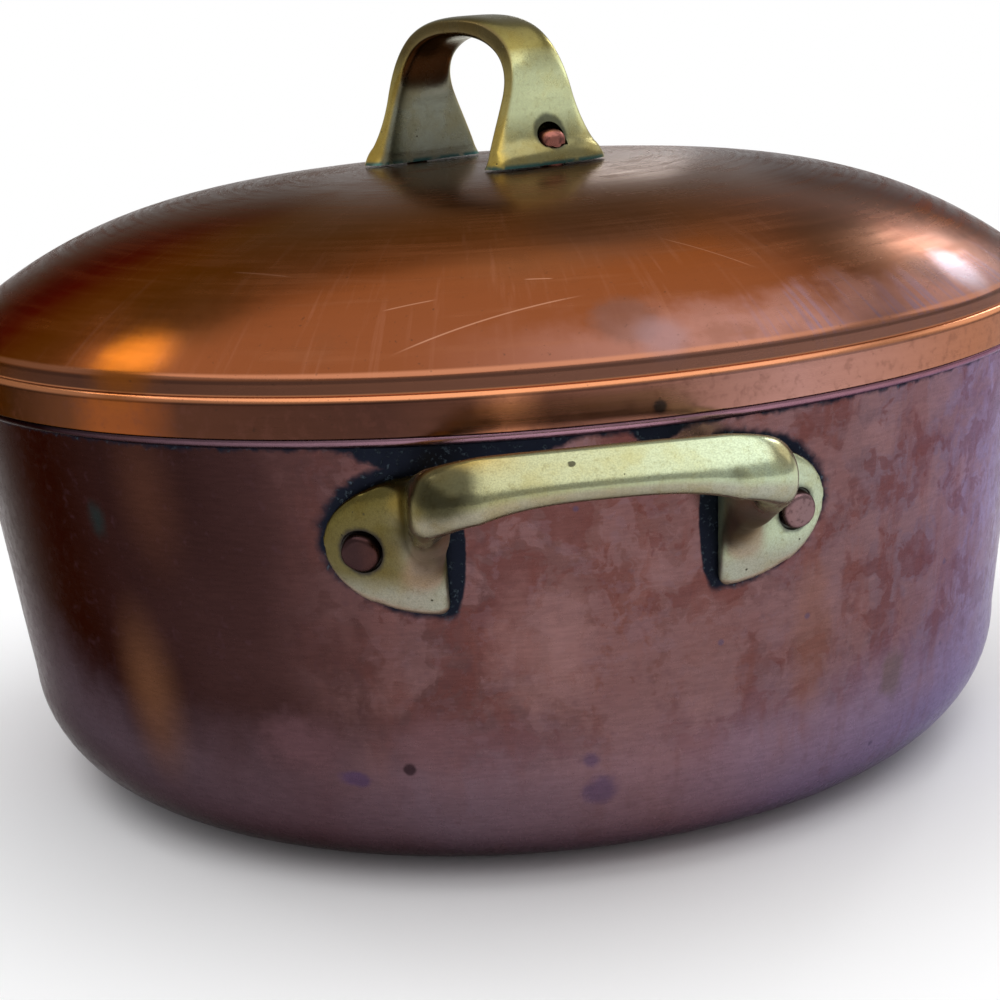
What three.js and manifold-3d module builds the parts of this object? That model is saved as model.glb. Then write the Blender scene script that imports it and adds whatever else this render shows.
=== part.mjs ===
// A round copper casserole with a domed lid, two cast brass side handles and a brass lid handle.
// Millimetres, +Z up. The origin is the middle of the base, on the surface that the pot stands on.
// The side handles are at the front (-Y) and the back (+Y).
import * as THREE from 'three';
import { mergeVertices } from 'three/addons/utils/BufferGeometryUtils.js';
import Module from 'manifold-3d';

const wasm = await Module();
wasm.setup();

// Driving dimensions
const GAP = 0.3; // clearance between pieces that touch
const ROUND_STEPS = 56; // facets round the pot and the lid
const RIVET_STEPS = 16; // facets round a rivet or its hole

const LIP_HEIGHT = 93; // underside of the pot's rolled bead
const WALL_RADIUS = 123; // outer radius of the wall just below the bead
const FOOT_RADIUS = 115.4; // outer radius of the wall where the bottom corner starts
const CORNER_RADIUS = 26.7;
const POT_SHEET = 2; // wall thickness
const BEAD_RADIUS = 126; // outermost reach of the bead
const BEAD_HALF_HEIGHT = 1.4;
const BEAD_ROOT = 0.4; // how far outside the wall the bead's roll starts
const NECK_RADIUS = 123.9; // the short neck above the bead, which the lid slips over
const POT_HEIGHT = 101.8;

const LID_SHEET = 1.2;
const SKIRT_RADIUS = 126.3;
const SKIRT_BOTTOM = 96.1;
const SKIRT_TOP = 101.3; // where the skirt starts to turn in
const STEP_RADIUS = 124.9; // foot of the small riser above the skirt
const STEP_HEIGHT = 102.8;
const DOME_RADIUS = 124.3; // top edge of the riser, where the dome starts
const DOME_FOOT = 106.1;
const DOME_RISE = 27.2;
const DOME_POWER = 3.7; // a flat crown with full shoulders

const HANDLE_LEVEL = 74; // height of the flanges' and rivets' middle line
const HANDLE_REACH = 48.1; // from the handle's middle to a flange's tip, along the wall
const FLANGE_INNER = 25.6; // from the handle's middle to a flange's straight edge
const FLANGE_HALF_HEIGHT = 13.9;
const FLANGE_THICK = 3.4;
const FLANGE_TIP_THICK = 1.7;
const FLANGE_EDGE = 2; // rounding of the flange's straight edge
const SHOULDER_REACH = 38; // where the flange's face is at its full thickness and sweeps up into the leg
const LEG_OUTER = 33.2; // from the handle's middle to a leg's outer face
const LEG_SPREAD = 0.6; // how much further out the leg is where it meets the bar
const BAR_INNER_BEND = 6; // bend of the handle's corner on the finger side
const BAR_OUTER_BEND = 10; // and on the outside
const BAR_BACK = 144; // the bar's back and front faces, measured from the pot's axis
const BAR_FRONT = 154;
const BAR_TOP = 95.8;
const BAR_BOTTOM = 87.7; // at the middle, where the bar is slimmest
const BAR_END_BOTTOM = 85.2;
const LEG_END_BOTTOM = 77.4; // the leg's underside slopes down towards the wall
const LEG_FOOT_BOTTOM = 71.3;
const LEG_ROOT_BOTTOM = 64.5; // and curves down to the flange's face
const LEG_END_TOP = 93.4;
const LEG_FOOT_TOP = 89.4;
const LEG_ROOT_TOP = 86.6;
const BAR_TILT = 1; // the bar's front ridge lies this much below its middle line, its back this much above

const HANDLE_RIVET_REACH = 40.5; // from the handle's middle, along the wall
const SHANK_RADIUS = 2.4;
const HEAD_RADIUS = 3.8;
const HEAD_FLAT_RADIUS = 2.1;
const HEAD_HEIGHT = 2.4;
const SPOT_FACE_RADIUS = 4.2;
const SPOT_FACE_LEVEL = 2.7; // above the wall, where the rivet's head sits
const INNER_HEAD_RADIUS = 4.8;
const INNER_HEAD_HEIGHT = 1.4;
const INNER_HEAD_BEVEL = 1.2;
const HOLE_START = -8; // a rivet hole's cutter runs from here to here, past both faces of what it cuts
const HOLE_END = 12;

const LID_HANDLE_TURN = -59.8; // degrees from +X to the strap's front foot
const LOOP_INNER_SPAN = 20; // half the clear width inside the loop
const LOOP_OUTER_SPAN = 24.8;
const LOOP_SPRING = 15; // height at which the legs turn into the crown
const LOOP_INNER_RISE = 13.8;
const LOOP_OUTER_RISE = 18.6;
const LOOP_INNER_POWER = 2.3;
const LOOP_OUTER_POWER = 2.5;
const STRAP_TOP_HALF_WIDTH = 6.9;
const STRAP_FOOT_HALF_WIDTH = 16.2;
const STRAP_FLARE_HEIGHT = 27; // below this the strap widens towards its feet
const STRAP_FLARE_POWER = 1.6;
const TOE_REACH = 29.4;
const TOE_THICK = 4.4;
const TOE_EDGE = 0.8; // rounding of the toe's upper edge
const LID_RIVET_REACH = 26.2;
const LID_RIVET_SEAT = 5; // height of the flat seat cut into each foot
const LID_RIVET_SEAT_RADIUS = 3.8;
const LID_RIVET_SEAT_HEIGHT = 5.4; // of the pocket that the seat leaves in the strap's flank
const LID_RIVET_HEAD_RADIUS = 3.2;
const LID_RIVET_HEAD_HEIGHT = 2.5;
const LID_RIVET_HEAD_EDGE = 0.7; // the straight rim under the head's dome

const LID_TOP = DOME_FOOT + DOME_RISE;
const WALL_SLOPE = (WALL_RADIUS - FOOT_RADIUS) / (LIP_HEIGHT - CORNER_RADIUS);

const COPPER_POT = { color: 0x7a4038, roughness: 0.38, metalness: 1 };
const COPPER_LID = { color: 0xa8603a, roughness: 0.32, metalness: 1 };
const COPPER_RIVET = { color: 0x8c4a40, roughness: 0.4, metalness: 1 };
const BRASS = { color: 0xb7a65a, roughness: 0.3, metalness: 1 };

// Outer radius of the pot's wall at a height, on its straight, slightly tapered stretch
const wallRadius = (height) => WALL_RADIUS - (LIP_HEIGHT - height) * WALL_SLOPE;

// Points of an elliptical arc from one angle to another, in degrees, as radius and height pairs
function arc(centre, radii, from, to, steps) {
  return Array.from({ length: steps + 1 }, (_, i) => {
    const angle = THREE.MathUtils.degToRad(THREE.MathUtils.lerp(from, to, i / steps));
    return new THREE.Vector2(centre[0] + radii[0] * Math.cos(angle), centre[1] + radii[1] * Math.sin(angle));
  });
}

const points = (...pairs) => pairs.map(([radius, height]) => new THREE.Vector2(radius, height));

// A solid of revolution about Z. The profile runs anticlockwise in the radius and height plane.
function turned(profile, steps = ROUND_STEPS) {
  const geometry = new THREE.LatheGeometry(profile, steps);
  geometry.rotateX(Math.PI / 2);
  return geometry;
}

// Joined and cut solids
function solidOf(geometry) {
  const bare = geometry.clone();
  bare.deleteAttribute('normal');
  bare.deleteAttribute('uv');
  const merged = mergeVertices(bare);
  const triVerts = Uint32Array.from(merged.index.array);
  const vertProperties = Float32Array.from(merged.attributes.position.array);
  return new wasm.Manifold(new wasm.Mesh({ numProp: 3, vertProperties, triVerts }));
}

function geometryOf(solid) {
  const { vertProperties, triVerts } = solid.getMesh();
  const geometry = new THREE.BufferGeometry();
  geometry.setAttribute('position', new THREE.BufferAttribute(vertProperties, 3));
  geometry.setIndex(new THREE.BufferAttribute(triVerts, 1));
  geometry.computeVertexNormals();
  return geometry;
}

function cutAway(geometry, cutters) {
  const rest = cutters.reduce((solid, cutter) => solid.subtract(solidOf(cutter)), solidOf(geometry));
  return geometryOf(rest);
}

const united = (geometries) => geometryOf(geometries.map(solidOf).reduce((whole, part) => whole.add(part)));

function piece(name, geometry, look) {
  const mesh = new THREE.Mesh(geometry, new THREE.MeshStandardMaterial(look));
  mesh.name = name;
  return mesh;
}

// A solid carried along a row of sections. Each section is a rounded oblong between an inner and an
// outer point, with half its height as a vector, and a roundness power for its inner and outer half. The
// quarter that faces outwards and up may have a power of its own: near 1 it is a straight facet.
function banded(sections, corners) {
  const positions = [];
  const index = [];
  for (const { inner, outer, side, innerPower, outerPower, facetPower = outerPower } of sections) {
    const middle = inner.clone().add(outer).multiplyScalar(0.5);
    const half = outer.clone().sub(inner).multiplyScalar(0.5);
    for (let k = 0; k < corners; k++) {
      const angle = (k / corners) * 2 * Math.PI;
      const [x, y] = [Math.cos(angle), Math.sin(angle)];
      const outerHalf = y > 0 ? facetPower : outerPower;
      const power = x < 0 ? innerPower : outerHalf;
      const across = Math.sign(x) * Math.abs(x) ** (2 / power);
      const along = Math.sign(y) * Math.abs(y) ** (2 / power);
      positions.push(...middle.clone().addScaledVector(half, across).addScaledVector(side, along));
    }
  }
  const last = sections.length - 1;
  for (let i = 0; i < last; i++) {
    for (let k = 0; k < corners; k++) {
      const [a, b] = [i * corners + k, i * corners + ((k + 1) % corners)];
      index.push(a, b, a + corners, b, b + corners, a + corners);
    }
  }
  for (const [row, turn] of [[0, 1], [last, -1]]) {
    const { inner, outer } = sections[row];
    const centre = positions.length / 3;
    positions.push(...inner.clone().add(outer).multiplyScalar(0.5));
    for (let k = 0; k < corners; k++) {
      const [a, b] = [row * corners + k, row * corners + ((k + 1) % corners)];
      index.push(centre, ...(turn > 0 ? [b, a] : [a, b]));
    }
  }
  const geometry = new THREE.BufferGeometry();
  geometry.setAttribute('position', new THREE.Float32BufferAttribute(positions, 3));
  geometry.setIndex(index);
  geometry.computeVertexNormals();
  return geometry;
}

// The pot: one drawn copper shell with a rounded bottom corner, a rolled bead and a short neck
function potProfile() {
  const cornerCentre = [FOOT_RADIUS - CORNER_RADIUS, CORNER_RADIUS];
  const beadMiddle = LIP_HEIGHT + BEAD_HALF_HEIGHT;
  const beadRadii = [BEAD_RADIUS - WALL_RADIUS - BEAD_ROOT, BEAD_HALF_HEIGHT];
  const beadTop = LIP_HEIGHT + 2 * BEAD_HALF_HEIGHT;
  const rim = POT_SHEET / 2;
  const innerCorner = CORNER_RADIUS - POT_SHEET;
  return [
    ...points([0, 0]),
    ...arc(cornerCentre, [CORNER_RADIUS, CORNER_RADIUS], -90, 0, 8),
    ...points([WALL_RADIUS, LIP_HEIGHT - BEAD_ROOT]),
    ...arc([WALL_RADIUS + BEAD_ROOT, beadMiddle], beadRadii, -90, 90, 6),
    ...points([NECK_RADIUS, beadTop + BEAD_ROOT]),
    ...arc([NECK_RADIUS - rim, POT_HEIGHT - rim], [rim, rim], 0, 180, 4),
    ...points([NECK_RADIUS - POT_SHEET, beadTop], [WALL_RADIUS - POT_SHEET, LIP_HEIGHT]),
    ...arc(cornerCentre, [innerCorner, innerCorner], 0, -90, 7),
    ...points([0, POT_SHEET]),
  ];
}

// The lid's outer line from its axis down to the skirt's edge, and the same line one sheet further in
const domeHeight = (radius, rim) => DOME_RISE * (1 - (radius / rim) ** DOME_POWER);

function lidProfile() {
  const crowding = 0.8; // draws the dome's steps towards its curved shoulder
  const dome = (rim, foot, steps) => Array.from({ length: steps }, (_, i) => {
    const radius = rim * Math.sin((i / steps) * (Math.PI / 2)) ** crowding;
    return new THREE.Vector2(radius, foot + domeHeight(radius, rim));
  });
  const turnIn = SKIRT_RADIUS - STEP_RADIUS;
  const outer = [
    ...dome(DOME_RADIUS, DOME_FOOT, 10),
    ...points([DOME_RADIUS, DOME_FOOT], [STEP_RADIUS, STEP_HEIGHT]),
    ...arc([STEP_RADIUS, SKIRT_TOP], [turnIn, STEP_HEIGHT - SKIRT_TOP], 90, 0, 4).slice(1),
    ...points([SKIRT_RADIUS, SKIRT_BOTTOM]),
  ];
  const inner = [
    ...dome(DOME_RADIUS - LID_SHEET, DOME_FOOT - LID_SHEET, 9),
    ...points(
      [DOME_RADIUS - LID_SHEET, DOME_FOOT - LID_SHEET],
      [STEP_RADIUS - LID_SHEET, STEP_HEIGHT - LID_SHEET],
      [SKIRT_RADIUS - LID_SHEET, STEP_HEIGHT - 2 * LID_SHEET],
      [SKIRT_RADIUS - LID_SHEET, SKIRT_BOTTOM],
    ),
  ];
  return [...inner, ...outer.reverse()];
}

// A side handle is cast in one: two half-oval flanges against the wall, and an arch that rises out of
// them. Seen from above, X is sideways and Y is the distance from the pot's axis.
const { lerp } = THREE.MathUtils;
const at = (x, y) => new THREE.Vector2(x, y);
const bend = (from, corner, to) => new THREE.QuadraticBezierCurve(from, corner, to);
const straight = (from, to) => new THREE.LineCurve(from, to);
const ramp = (from, to, power = 1) => (t) => to + (from - to) * (1 - t) ** power;
const onWall = (reach, lift) => {
  const radius = wallRadius(HANDLE_LEVEL) + lift;
  const angle = reach / wallRadius(HANDLE_LEVEL);
  return at(radius * Math.sin(angle), radius * Math.cos(angle));
};

// A section between an inner and an outer point of the plan. upright is 0 where the section leans with
// the wall's taper and 1 where it stands straight.
function handleSection({ inner, outer, top, bottom, upright = 0, tilt = 0 }, powers) {
  const level = (top + bottom) / 2;
  const half = (top - bottom) / 2;
  const outward = inner.clone().normalize();
  const lean = WALL_SLOPE * (1 - upright) * half;
  return {
    inner: new THREE.Vector3(inner.x, -inner.y, level + tilt),
    outer: new THREE.Vector3(outer.x, -outer.y, level - tilt),
    side: new THREE.Vector3(outward.x * lean, -outward.y * lean, half),
    ...powers,
  };
}

const FLANGE_POWERS = { innerPower: 7, outerPower: 3 }; // square against the wall, softer outside

// A flange's outline is a half ellipse on a straight edge, and its face thins towards the tip
function flangeSections() {
  const bluntTip = HANDLE_REACH + GAP; // the ellipse ends a little past the tip, so the tip is blunt
  const quarter = (steps) => Array.from({ length: steps + 1 }, (_, i) => (i / steps) * (Math.PI / 2));
  const tipSteps = quarter(6).map((angle) => lerp(HANDLE_REACH, SHOULDER_REACH, Math.sin(angle)));
  const middle = [1 / 3, 2 / 3].map((t) => lerp(SHOULDER_REACH, FLANGE_INNER + FLANGE_EDGE, t));
  const edgeSteps = quarter(4).map((angle) => FLANGE_INNER + FLANGE_EDGE * (1 - Math.sin(angle)));
  return [...tipSteps, ...middle, ...edgeSteps].map((reach) => {
    const share = (reach - FLANGE_INNER) / (bluntTip - FLANGE_INNER);
    const fromEdge = Math.min(1, (reach - FLANGE_INNER) / FLANGE_EDGE);
    const rounding = FLANGE_EDGE * (1 - Math.sqrt(1 - (1 - fromEdge) ** 2));
    const half = FLANGE_HALF_HEIGHT * Math.sqrt(1 - share ** 2) - rounding;
    const grown = Math.min(1, (HANDLE_REACH - reach) / (HANDLE_REACH - SHOULDER_REACH));
    const lift = lerp(FLANGE_TIP_THICK, GAP + FLANGE_THICK, Math.sin(grown * (Math.PI / 2)));
    return handleSection({
      inner: onWall(reach, GAP),
      outer: onWall(reach, lift - rounding / 2),
      top: HANDLE_LEVEL + half,
      bottom: HANDLE_LEVEL - half,
    }, FLANGE_POWERS);
  });
}

// Half of the arch: it grows out of the flange, runs straight out, turns the corner and becomes the bar.
// The bar's underside is level in the middle and dips towards its ends.
function archStretches() {
  const seat = onWall(FLANGE_INNER, GAP + FLANGE_THICK / 2).y; // inside the flange's thickness
  const legFoot = onWall(FLANGE_INNER, GAP).y + 8; // where the sweep from the flange ends on the leg
  const sweep = at(LEG_OUTER, onWall(FLANGE_INNER, GAP).y + FLANGE_THICK);
  const legEnd = at(LEG_OUTER + LEG_SPREAD, BAR_BACK);
  const barCorner = at(LEG_OUTER + LEG_SPREAD, BAR_FRONT);
  const innerBend = BAR_BACK - BAR_INNER_BEND;
  const barStart = at(FLANGE_INNER - BAR_INNER_BEND, BAR_BACK);
  return [
    {
      inner: straight(at(FLANGE_INNER + GAP, seat), at(FLANGE_INNER, legFoot)),
      outer: bend(onWall(SHOULDER_REACH, FLANGE_THICK), sweep, at(LEG_OUTER, legFoot)),
      top: ramp(LEG_ROOT_TOP, LEG_FOOT_TOP),
      bottom: ramp(LEG_ROOT_BOTTOM, LEG_FOOT_BOTTOM, 2),
      upright: ramp(0, 0),
      facet: ramp(0, 0),
      steps: 5,
    },
    {
      inner: straight(at(FLANGE_INNER, legFoot), at(FLANGE_INNER, innerBend)),
      outer: straight(at(LEG_OUTER, legFoot), legEnd),
      top: ramp(LEG_FOOT_TOP, LEG_END_TOP),
      bottom: ramp(LEG_FOOT_BOTTOM, LEG_END_BOTTOM),
      upright: ramp(0, 1),
      facet: ramp(0, 0),
      steps: 3,
    },
    {
      inner: bend(at(FLANGE_INNER, innerBend), at(FLANGE_INNER, BAR_BACK), barStart),
      outer: bend(legEnd, barCorner, at(LEG_OUTER - BAR_OUTER_BEND, BAR_FRONT)),
      top: ramp(LEG_END_TOP, BAR_TOP, 1.6),
      bottom: ramp(LEG_END_BOTTOM, BAR_END_BOTTOM, 1.3),
      upright: ramp(1, 1),
      facet: ramp(0, 1),
      steps: 6,
    },
    {
      inner: straight(barStart, at(0, BAR_BACK)),
      outer: straight(at(LEG_OUTER - BAR_OUTER_BEND, BAR_FRONT), at(0, BAR_FRONT)),
      top: ramp(BAR_TOP, BAR_TOP),
      bottom: ramp(BAR_END_BOTTOM, BAR_BOTTOM, 3),
      upright: ramp(1, 1),
      facet: ramp(1, 1),
      steps: 4,
    },
  ];
}

function archHalfSections() {
  const barPower = { innerPower: 2.4, outerPower: 2.2, facetPower: 1.35 }; // nearly round, with one facet
  return archStretches().flatMap(({ inner, outer, top, bottom, upright, facet, steps }, part) => {
    const first = part === 0 ? 0 : 1;
    return Array.from({ length: steps + 1 - first }, (_, i) => {
      const t = (i + first) / steps;
      const straightened = upright(t);
      const outerPower = lerp(FLANGE_POWERS.outerPower, barPower.outerPower, straightened);
      return handleSection({
        inner: inner.getPoint(t),
        outer: outer.getPoint(t),
        top: top(t),
        bottom: bottom(t),
        upright: straightened,
        tilt: BAR_TILT * facet(t),
      }, {
        innerPower: lerp(FLANGE_POWERS.innerPower, barPower.innerPower, straightened),
        outerPower,
        facetPower: lerp(outerPower, barPower.facetPower, facet(t)),
      });
    });
  });
}

const mirrored = (section) => {
  const flip = (v) => new THREE.Vector3(-v.x, v.y, v.z);
  return { ...section, inner: flip(section.inner), outer: flip(section.outer), side: flip(section.side) };
};

function sideHandle() {
  const corners = 12;
  const flange = flangeSections();
  const half = archHalfSections();
  const arch = [...half, ...half.slice(0, -1).map(mirrored).reverse()];
  const otherFlange = flange.map(mirrored).reverse();
  return united([flange, otherFlange, arch].map((sections) => banded(sections, corners)));
}

// The side handles' rivets stand square to the wall. This places a shape that is drawn along +Z with
// its zero on the wall's outer face.
function onWallFace(geometry, side) {
  const angle = (side * HANDLE_RIVET_REACH) / wallRadius(HANDLE_LEVEL);
  const outward = new THREE.Vector3(Math.sin(angle), -Math.cos(angle), -WALL_SLOPE).normalize();
  const radius = wallRadius(HANDLE_LEVEL);
  const foot = new THREE.Vector3(radius * Math.sin(angle), -radius * Math.cos(angle), HANDLE_LEVEL);
  const turn = new THREE.Quaternion().setFromUnitVectors(new THREE.Vector3(0, 0, 1), outward);
  return geometry.clone().applyQuaternion(turn).translate(foot.x, foot.y, foot.z);
}

function rod(radius, bottom, top) {
  return turned(points([0, bottom], [radius, bottom], [radius, top], [0, top]), RIVET_STEPS);
}

// The head hammered flat on the inside, and the shank above it
const hammeredHead = (inside, seat) => [
  [0, inside - INNER_HEAD_HEIGHT],
  [INNER_HEAD_RADIUS - INNER_HEAD_BEVEL, inside - INNER_HEAD_HEIGHT],
  [INNER_HEAD_RADIUS, inside - INNER_HEAD_HEIGHT / 3],
  [INNER_HEAD_RADIUS, inside],
  [SHANK_RADIUS, inside],
  [SHANK_RADIUS, seat],
];

function handleRivet() {
  const seat = SPOT_FACE_LEVEL + GAP;
  const inside = -POT_SHEET - GAP;
  return turned(points(
    ...hammeredHead(inside, seat),
    [HEAD_RADIUS, seat],
    [HEAD_RADIUS, seat + HEAD_HEIGHT / 2],
    [HEAD_FLAT_RADIUS, seat + HEAD_HEIGHT],
    [0, seat + HEAD_HEIGHT],
  ), RIVET_STEPS);
}

const rivetHole = rod(SHANK_RADIUS + GAP, HOLE_START, HOLE_END);
const spotFace = rod(SPOT_FACE_RADIUS, SPOT_FACE_LEVEL, HOLE_END);
const handleShape = cutAway(sideHandle(), [-1, 1].flatMap((side) => [
  onWallFace(rivetHole, side),
  onWallFace(spotFace, side),
]));

// The lid handle: a cast strap bent to a loop, drawn along X and set on the lid's flat crown.
// Its side view is an inner and an outer line, each from the front foot over the crown to the back foot.
const strapHalfWidth = (height) => {
  const share = Math.max(0, 1 - height / STRAP_FLARE_HEIGHT);
  return STRAP_TOP_HALF_WIDTH + (STRAP_FOOT_HALF_WIDTH - STRAP_TOP_HALF_WIDTH) * share ** STRAP_FLARE_POWER;
};

const crownPoint = (angle, span, rise, power) => at(
  span * Math.cos(angle) ** (2 / power),
  LOOP_SPRING + rise * Math.sin(angle) ** (2 / power),
);

function strapHalf() {
  const squareEdge = 6; // roundness powers of the strap's sections
  const roundEdge = 2.4;
  const strapEdge = 3.6;
  const heel = at(LOOP_INNER_SPAN - 0.4, TOE_THICK - 2 * TOE_EDGE);
  const foot = [GAP, TOE_THICK - TOE_EDGE].map((height) => ({
    inner: at(heel.x, Math.min(height, heel.y - TOE_EDGE)),
    outer: at(TOE_REACH, height),
    innerPower: squareEdge,
    outerPower: roundEdge,
  }));
  const sweep = bend(
    at(TOE_REACH - TOE_EDGE, TOE_THICK),
    at(LOOP_OUTER_SPAN + TOE_EDGE, TOE_THICK + TOE_EDGE),
    at(LOOP_OUTER_SPAN, LOOP_SPRING),
  );
  const rise = straight(heel, at(LOOP_INNER_SPAN, LOOP_SPRING));
  const flareSteps = 7;
  const flare = Array.from({ length: flareSteps + 1 }, (_, i) => ({
    inner: rise.getPoint(i / flareSteps),
    outer: sweep.getPoint(i / flareSteps),
    innerPower: THREE.MathUtils.lerp(squareEdge, strapEdge, i / flareSteps),
    outerPower: THREE.MathUtils.lerp(roundEdge, strapEdge, i / flareSteps),
  }));
  const crownSteps = 9;
  const crown = Array.from({ length: crownSteps }, (_, i) => {
    const angle = Math.min(((i + 1) / crownSteps) * (Math.PI / 2), Math.PI / 2 - 1e-9);
    return {
      inner: crownPoint(angle, LOOP_INNER_SPAN, LOOP_INNER_RISE, LOOP_INNER_POWER),
      outer: crownPoint(angle, LOOP_OUTER_SPAN, LOOP_OUTER_RISE, LOOP_OUTER_POWER),
      innerPower: strapEdge,
      outerPower: strapEdge,
    };
  });
  return [...foot, ...flare, ...crown];
}

function strap() {
  const half = strapHalf();
  const section = (direction) => ({ inner, outer, ...powers }) => ({
    inner: new THREE.Vector3(direction * inner.x, 0, inner.y),
    outer: new THREE.Vector3(direction * outer.x, 0, outer.y),
    side: new THREE.Vector3(0, strapHalfWidth((inner.y + outer.y) / 2), 0),
    ...powers,
  });
  return banded([...half.map(section(1)), ...half.slice(0, -1).reverse().map(section(-1))], 16);
}

function lidRivet() {
  const seat = LID_RIVET_SEAT + GAP;
  const inside = -LID_SHEET - 2 * GAP; // the dome already falls away a little here
  const domeBase = seat + LID_RIVET_HEAD_EDGE;
  const domeRadii = [LID_RIVET_HEAD_RADIUS, LID_RIVET_HEAD_HEIGHT - LID_RIVET_HEAD_EDGE];
  return turned([
    ...points(...hammeredHead(inside, seat), [LID_RIVET_HEAD_RADIUS, seat]),
    ...arc([0, domeBase], domeRadii, 0, 90, 4),
  ], RIVET_STEPS);
}

const seatWall = 2; // straight height of the pocket round the rivet's head, under its domed end
const rivetSeat = turned([
  ...points([0, LID_RIVET_SEAT], [LID_RIVET_SEAT_RADIUS, LID_RIVET_SEAT]),
  ...arc([0, LID_RIVET_SEAT + seatWall], [LID_RIVET_SEAT_RADIUS, LID_RIVET_SEAT_HEIGHT - seatWall], 0, 90, 4),
], RIVET_STEPS);

const atFoot = (geometry, direction) => geometry.clone().translate(direction * LID_RIVET_REACH, 0, 0);
const strapShape = cutAway(strap(), [-1, 1].flatMap((direction) => [
  atFoot(rivetHole, direction),
  atFoot(rivetSeat, direction),
]));

// The lid's own parts share one group, turned so that the strap's front foot faces as it should
const lidFittings = new THREE.Group();
lidFittings.position.z = LID_TOP;
lidFittings.rotation.z = THREE.MathUtils.degToRad(LID_HANDLE_TURN);
lidFittings.add(piece('lid_handle', strapShape, BRASS));
for (const [name, direction] of [['lid_rivet_front', 1], ['lid_rivet_back', -1]]) {
  lidFittings.add(piece(name, atFoot(lidRivet(), direction), COPPER_RIVET));
}

const lidHoles = [-1, 1].map((direction) => atFoot(rivetHole, direction)
  .rotateZ(THREE.MathUtils.degToRad(LID_HANDLE_TURN))
  .translate(0, 0, LID_TOP));

const potHoles = [0, Math.PI].flatMap((turn) => [
  onWallFace(rivetHole, -1).rotateZ(turn),
  onWallFace(rivetHole, 1).rotateZ(turn),
]);

const casserole = new THREE.Group();
casserole.add(piece('pot_body', cutAway(turned(potProfile()), potHoles), COPPER_POT));
casserole.add(piece('lid_shell', cutAway(turned(lidProfile()), lidHoles), COPPER_LID));
casserole.add(lidFittings);

for (const [name, turn] of [['front', 0], ['back', Math.PI]]) {
  const fittings = new THREE.Group();
  fittings.rotation.z = turn;
  fittings.add(piece(`handle_${name}`, handleShape.clone(), BRASS));
  for (const [sideName, side] of [['left', -1], ['right', 1]]) {
    fittings.add(piece(`handle_${name}_rivet_${sideName}`, onWallFace(handleRivet(), side), COPPER_RIVET));
  }
  casserole.add(fittings);
}

export default casserole;
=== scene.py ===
# %% [markdown]
# # Dressing a copper casserole
# The solids already say where each piece is and how large it is. This script gives them the skin of the
# real pot: copper that was drawn and spun in a lathe, brass that was cast in sand and filed, rivets that
# were hammered over, and a tinned inside. Every shape is a formula on a grid of points, so its fineness is
# one number and its size is the solid's own size.

# %% Load the solids
import math

import bpy
import numpy as np
from mathutils import Matrix, Vector


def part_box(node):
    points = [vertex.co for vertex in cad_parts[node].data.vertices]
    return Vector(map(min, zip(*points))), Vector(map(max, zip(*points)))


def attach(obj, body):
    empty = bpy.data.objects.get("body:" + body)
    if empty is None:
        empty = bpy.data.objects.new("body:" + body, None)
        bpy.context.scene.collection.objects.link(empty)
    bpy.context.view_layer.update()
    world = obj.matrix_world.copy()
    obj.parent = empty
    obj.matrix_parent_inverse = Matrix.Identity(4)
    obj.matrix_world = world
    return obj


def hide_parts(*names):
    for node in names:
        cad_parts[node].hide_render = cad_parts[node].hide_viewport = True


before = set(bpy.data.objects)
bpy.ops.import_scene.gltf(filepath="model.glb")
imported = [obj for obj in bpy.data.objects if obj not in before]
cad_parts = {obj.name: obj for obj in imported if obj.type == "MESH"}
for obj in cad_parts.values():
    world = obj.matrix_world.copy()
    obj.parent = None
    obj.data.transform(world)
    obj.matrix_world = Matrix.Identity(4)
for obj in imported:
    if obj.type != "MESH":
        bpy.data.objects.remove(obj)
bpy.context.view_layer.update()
MM = 0.001  # the shapes are worked out in millimetres and become metres in the mesh
print("nodes:", ", ".join(sorted(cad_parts)))

# %% [markdown]
# Real cookware is measured with callipers at a few places. Here the boxes of the solids are the callipers:
# they give the outermost radius of the bead and the skirt, the heights, and the reach of the handles. The
# finer sizes, such as the sheet's thickness, are the maker's own numbers.

# %% Sizes read off the solids


def measured(node):
    """The low and the high corner of a solid's box, in millimetres."""
    low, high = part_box(node)
    return np.array(low) / MM, np.array(high) / MM


pot_high = measured("pot_body")[1]
lid_low, lid_high = measured("lid_shell")
bar_low = measured("handle_front")[0]
loop_high = measured("lid_handle")[1]

bead_radius = pot_high[0]
pot_height = pot_high[2]
skirt_radius = lid_high[0]
skirt_bottom = lid_low[2]
lid_top = lid_high[2]
bar_front = -bar_low[1]
loop_top = loop_high[2] - lid_top

gap = 0.3  # clearance between pieces that touch
pot_sheet = 2.0
lid_sheet = 1.2
bead_half_height = 1.4
bead_root = 0.4
lip_height = 93.0
wall_radius = bead_radius - 3.0  # outside of the wall just below the bead
foot_radius = wall_radius - 7.6
corner_radius = 26.7
neck_radius = bead_radius - 2.1
step_radius = skirt_radius - 1.4
dome_radius = step_radius - 0.6
skirt_top = skirt_bottom + 5.2
step_height = skirt_top + 1.5
dome_foot = step_height + 3.3
dome_power = 3.7
wall_slope = (wall_radius - foot_radius) / (lip_height - corner_radius)
print(f"bead radius {bead_radius:.1f} mm, lid top {lid_top:.1f} mm, bar reaches {bar_front:.1f} mm")

# %% [markdown]
# ## From a grid of points to a closed mesh
# A turned piece is a profile carried round an axis, and a cast piece is a section carried along a path.
# Both give a grid: one index runs along the profile or the path, the other runs round. The two ends are
# closed by fans of triangles. The sign of the volume that the faces enclose tells whether they point
# outwards, so a whole mesh can be turned the right way in one step.

# %% Mesh helpers
sharp_angle = math.radians(38)


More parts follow.
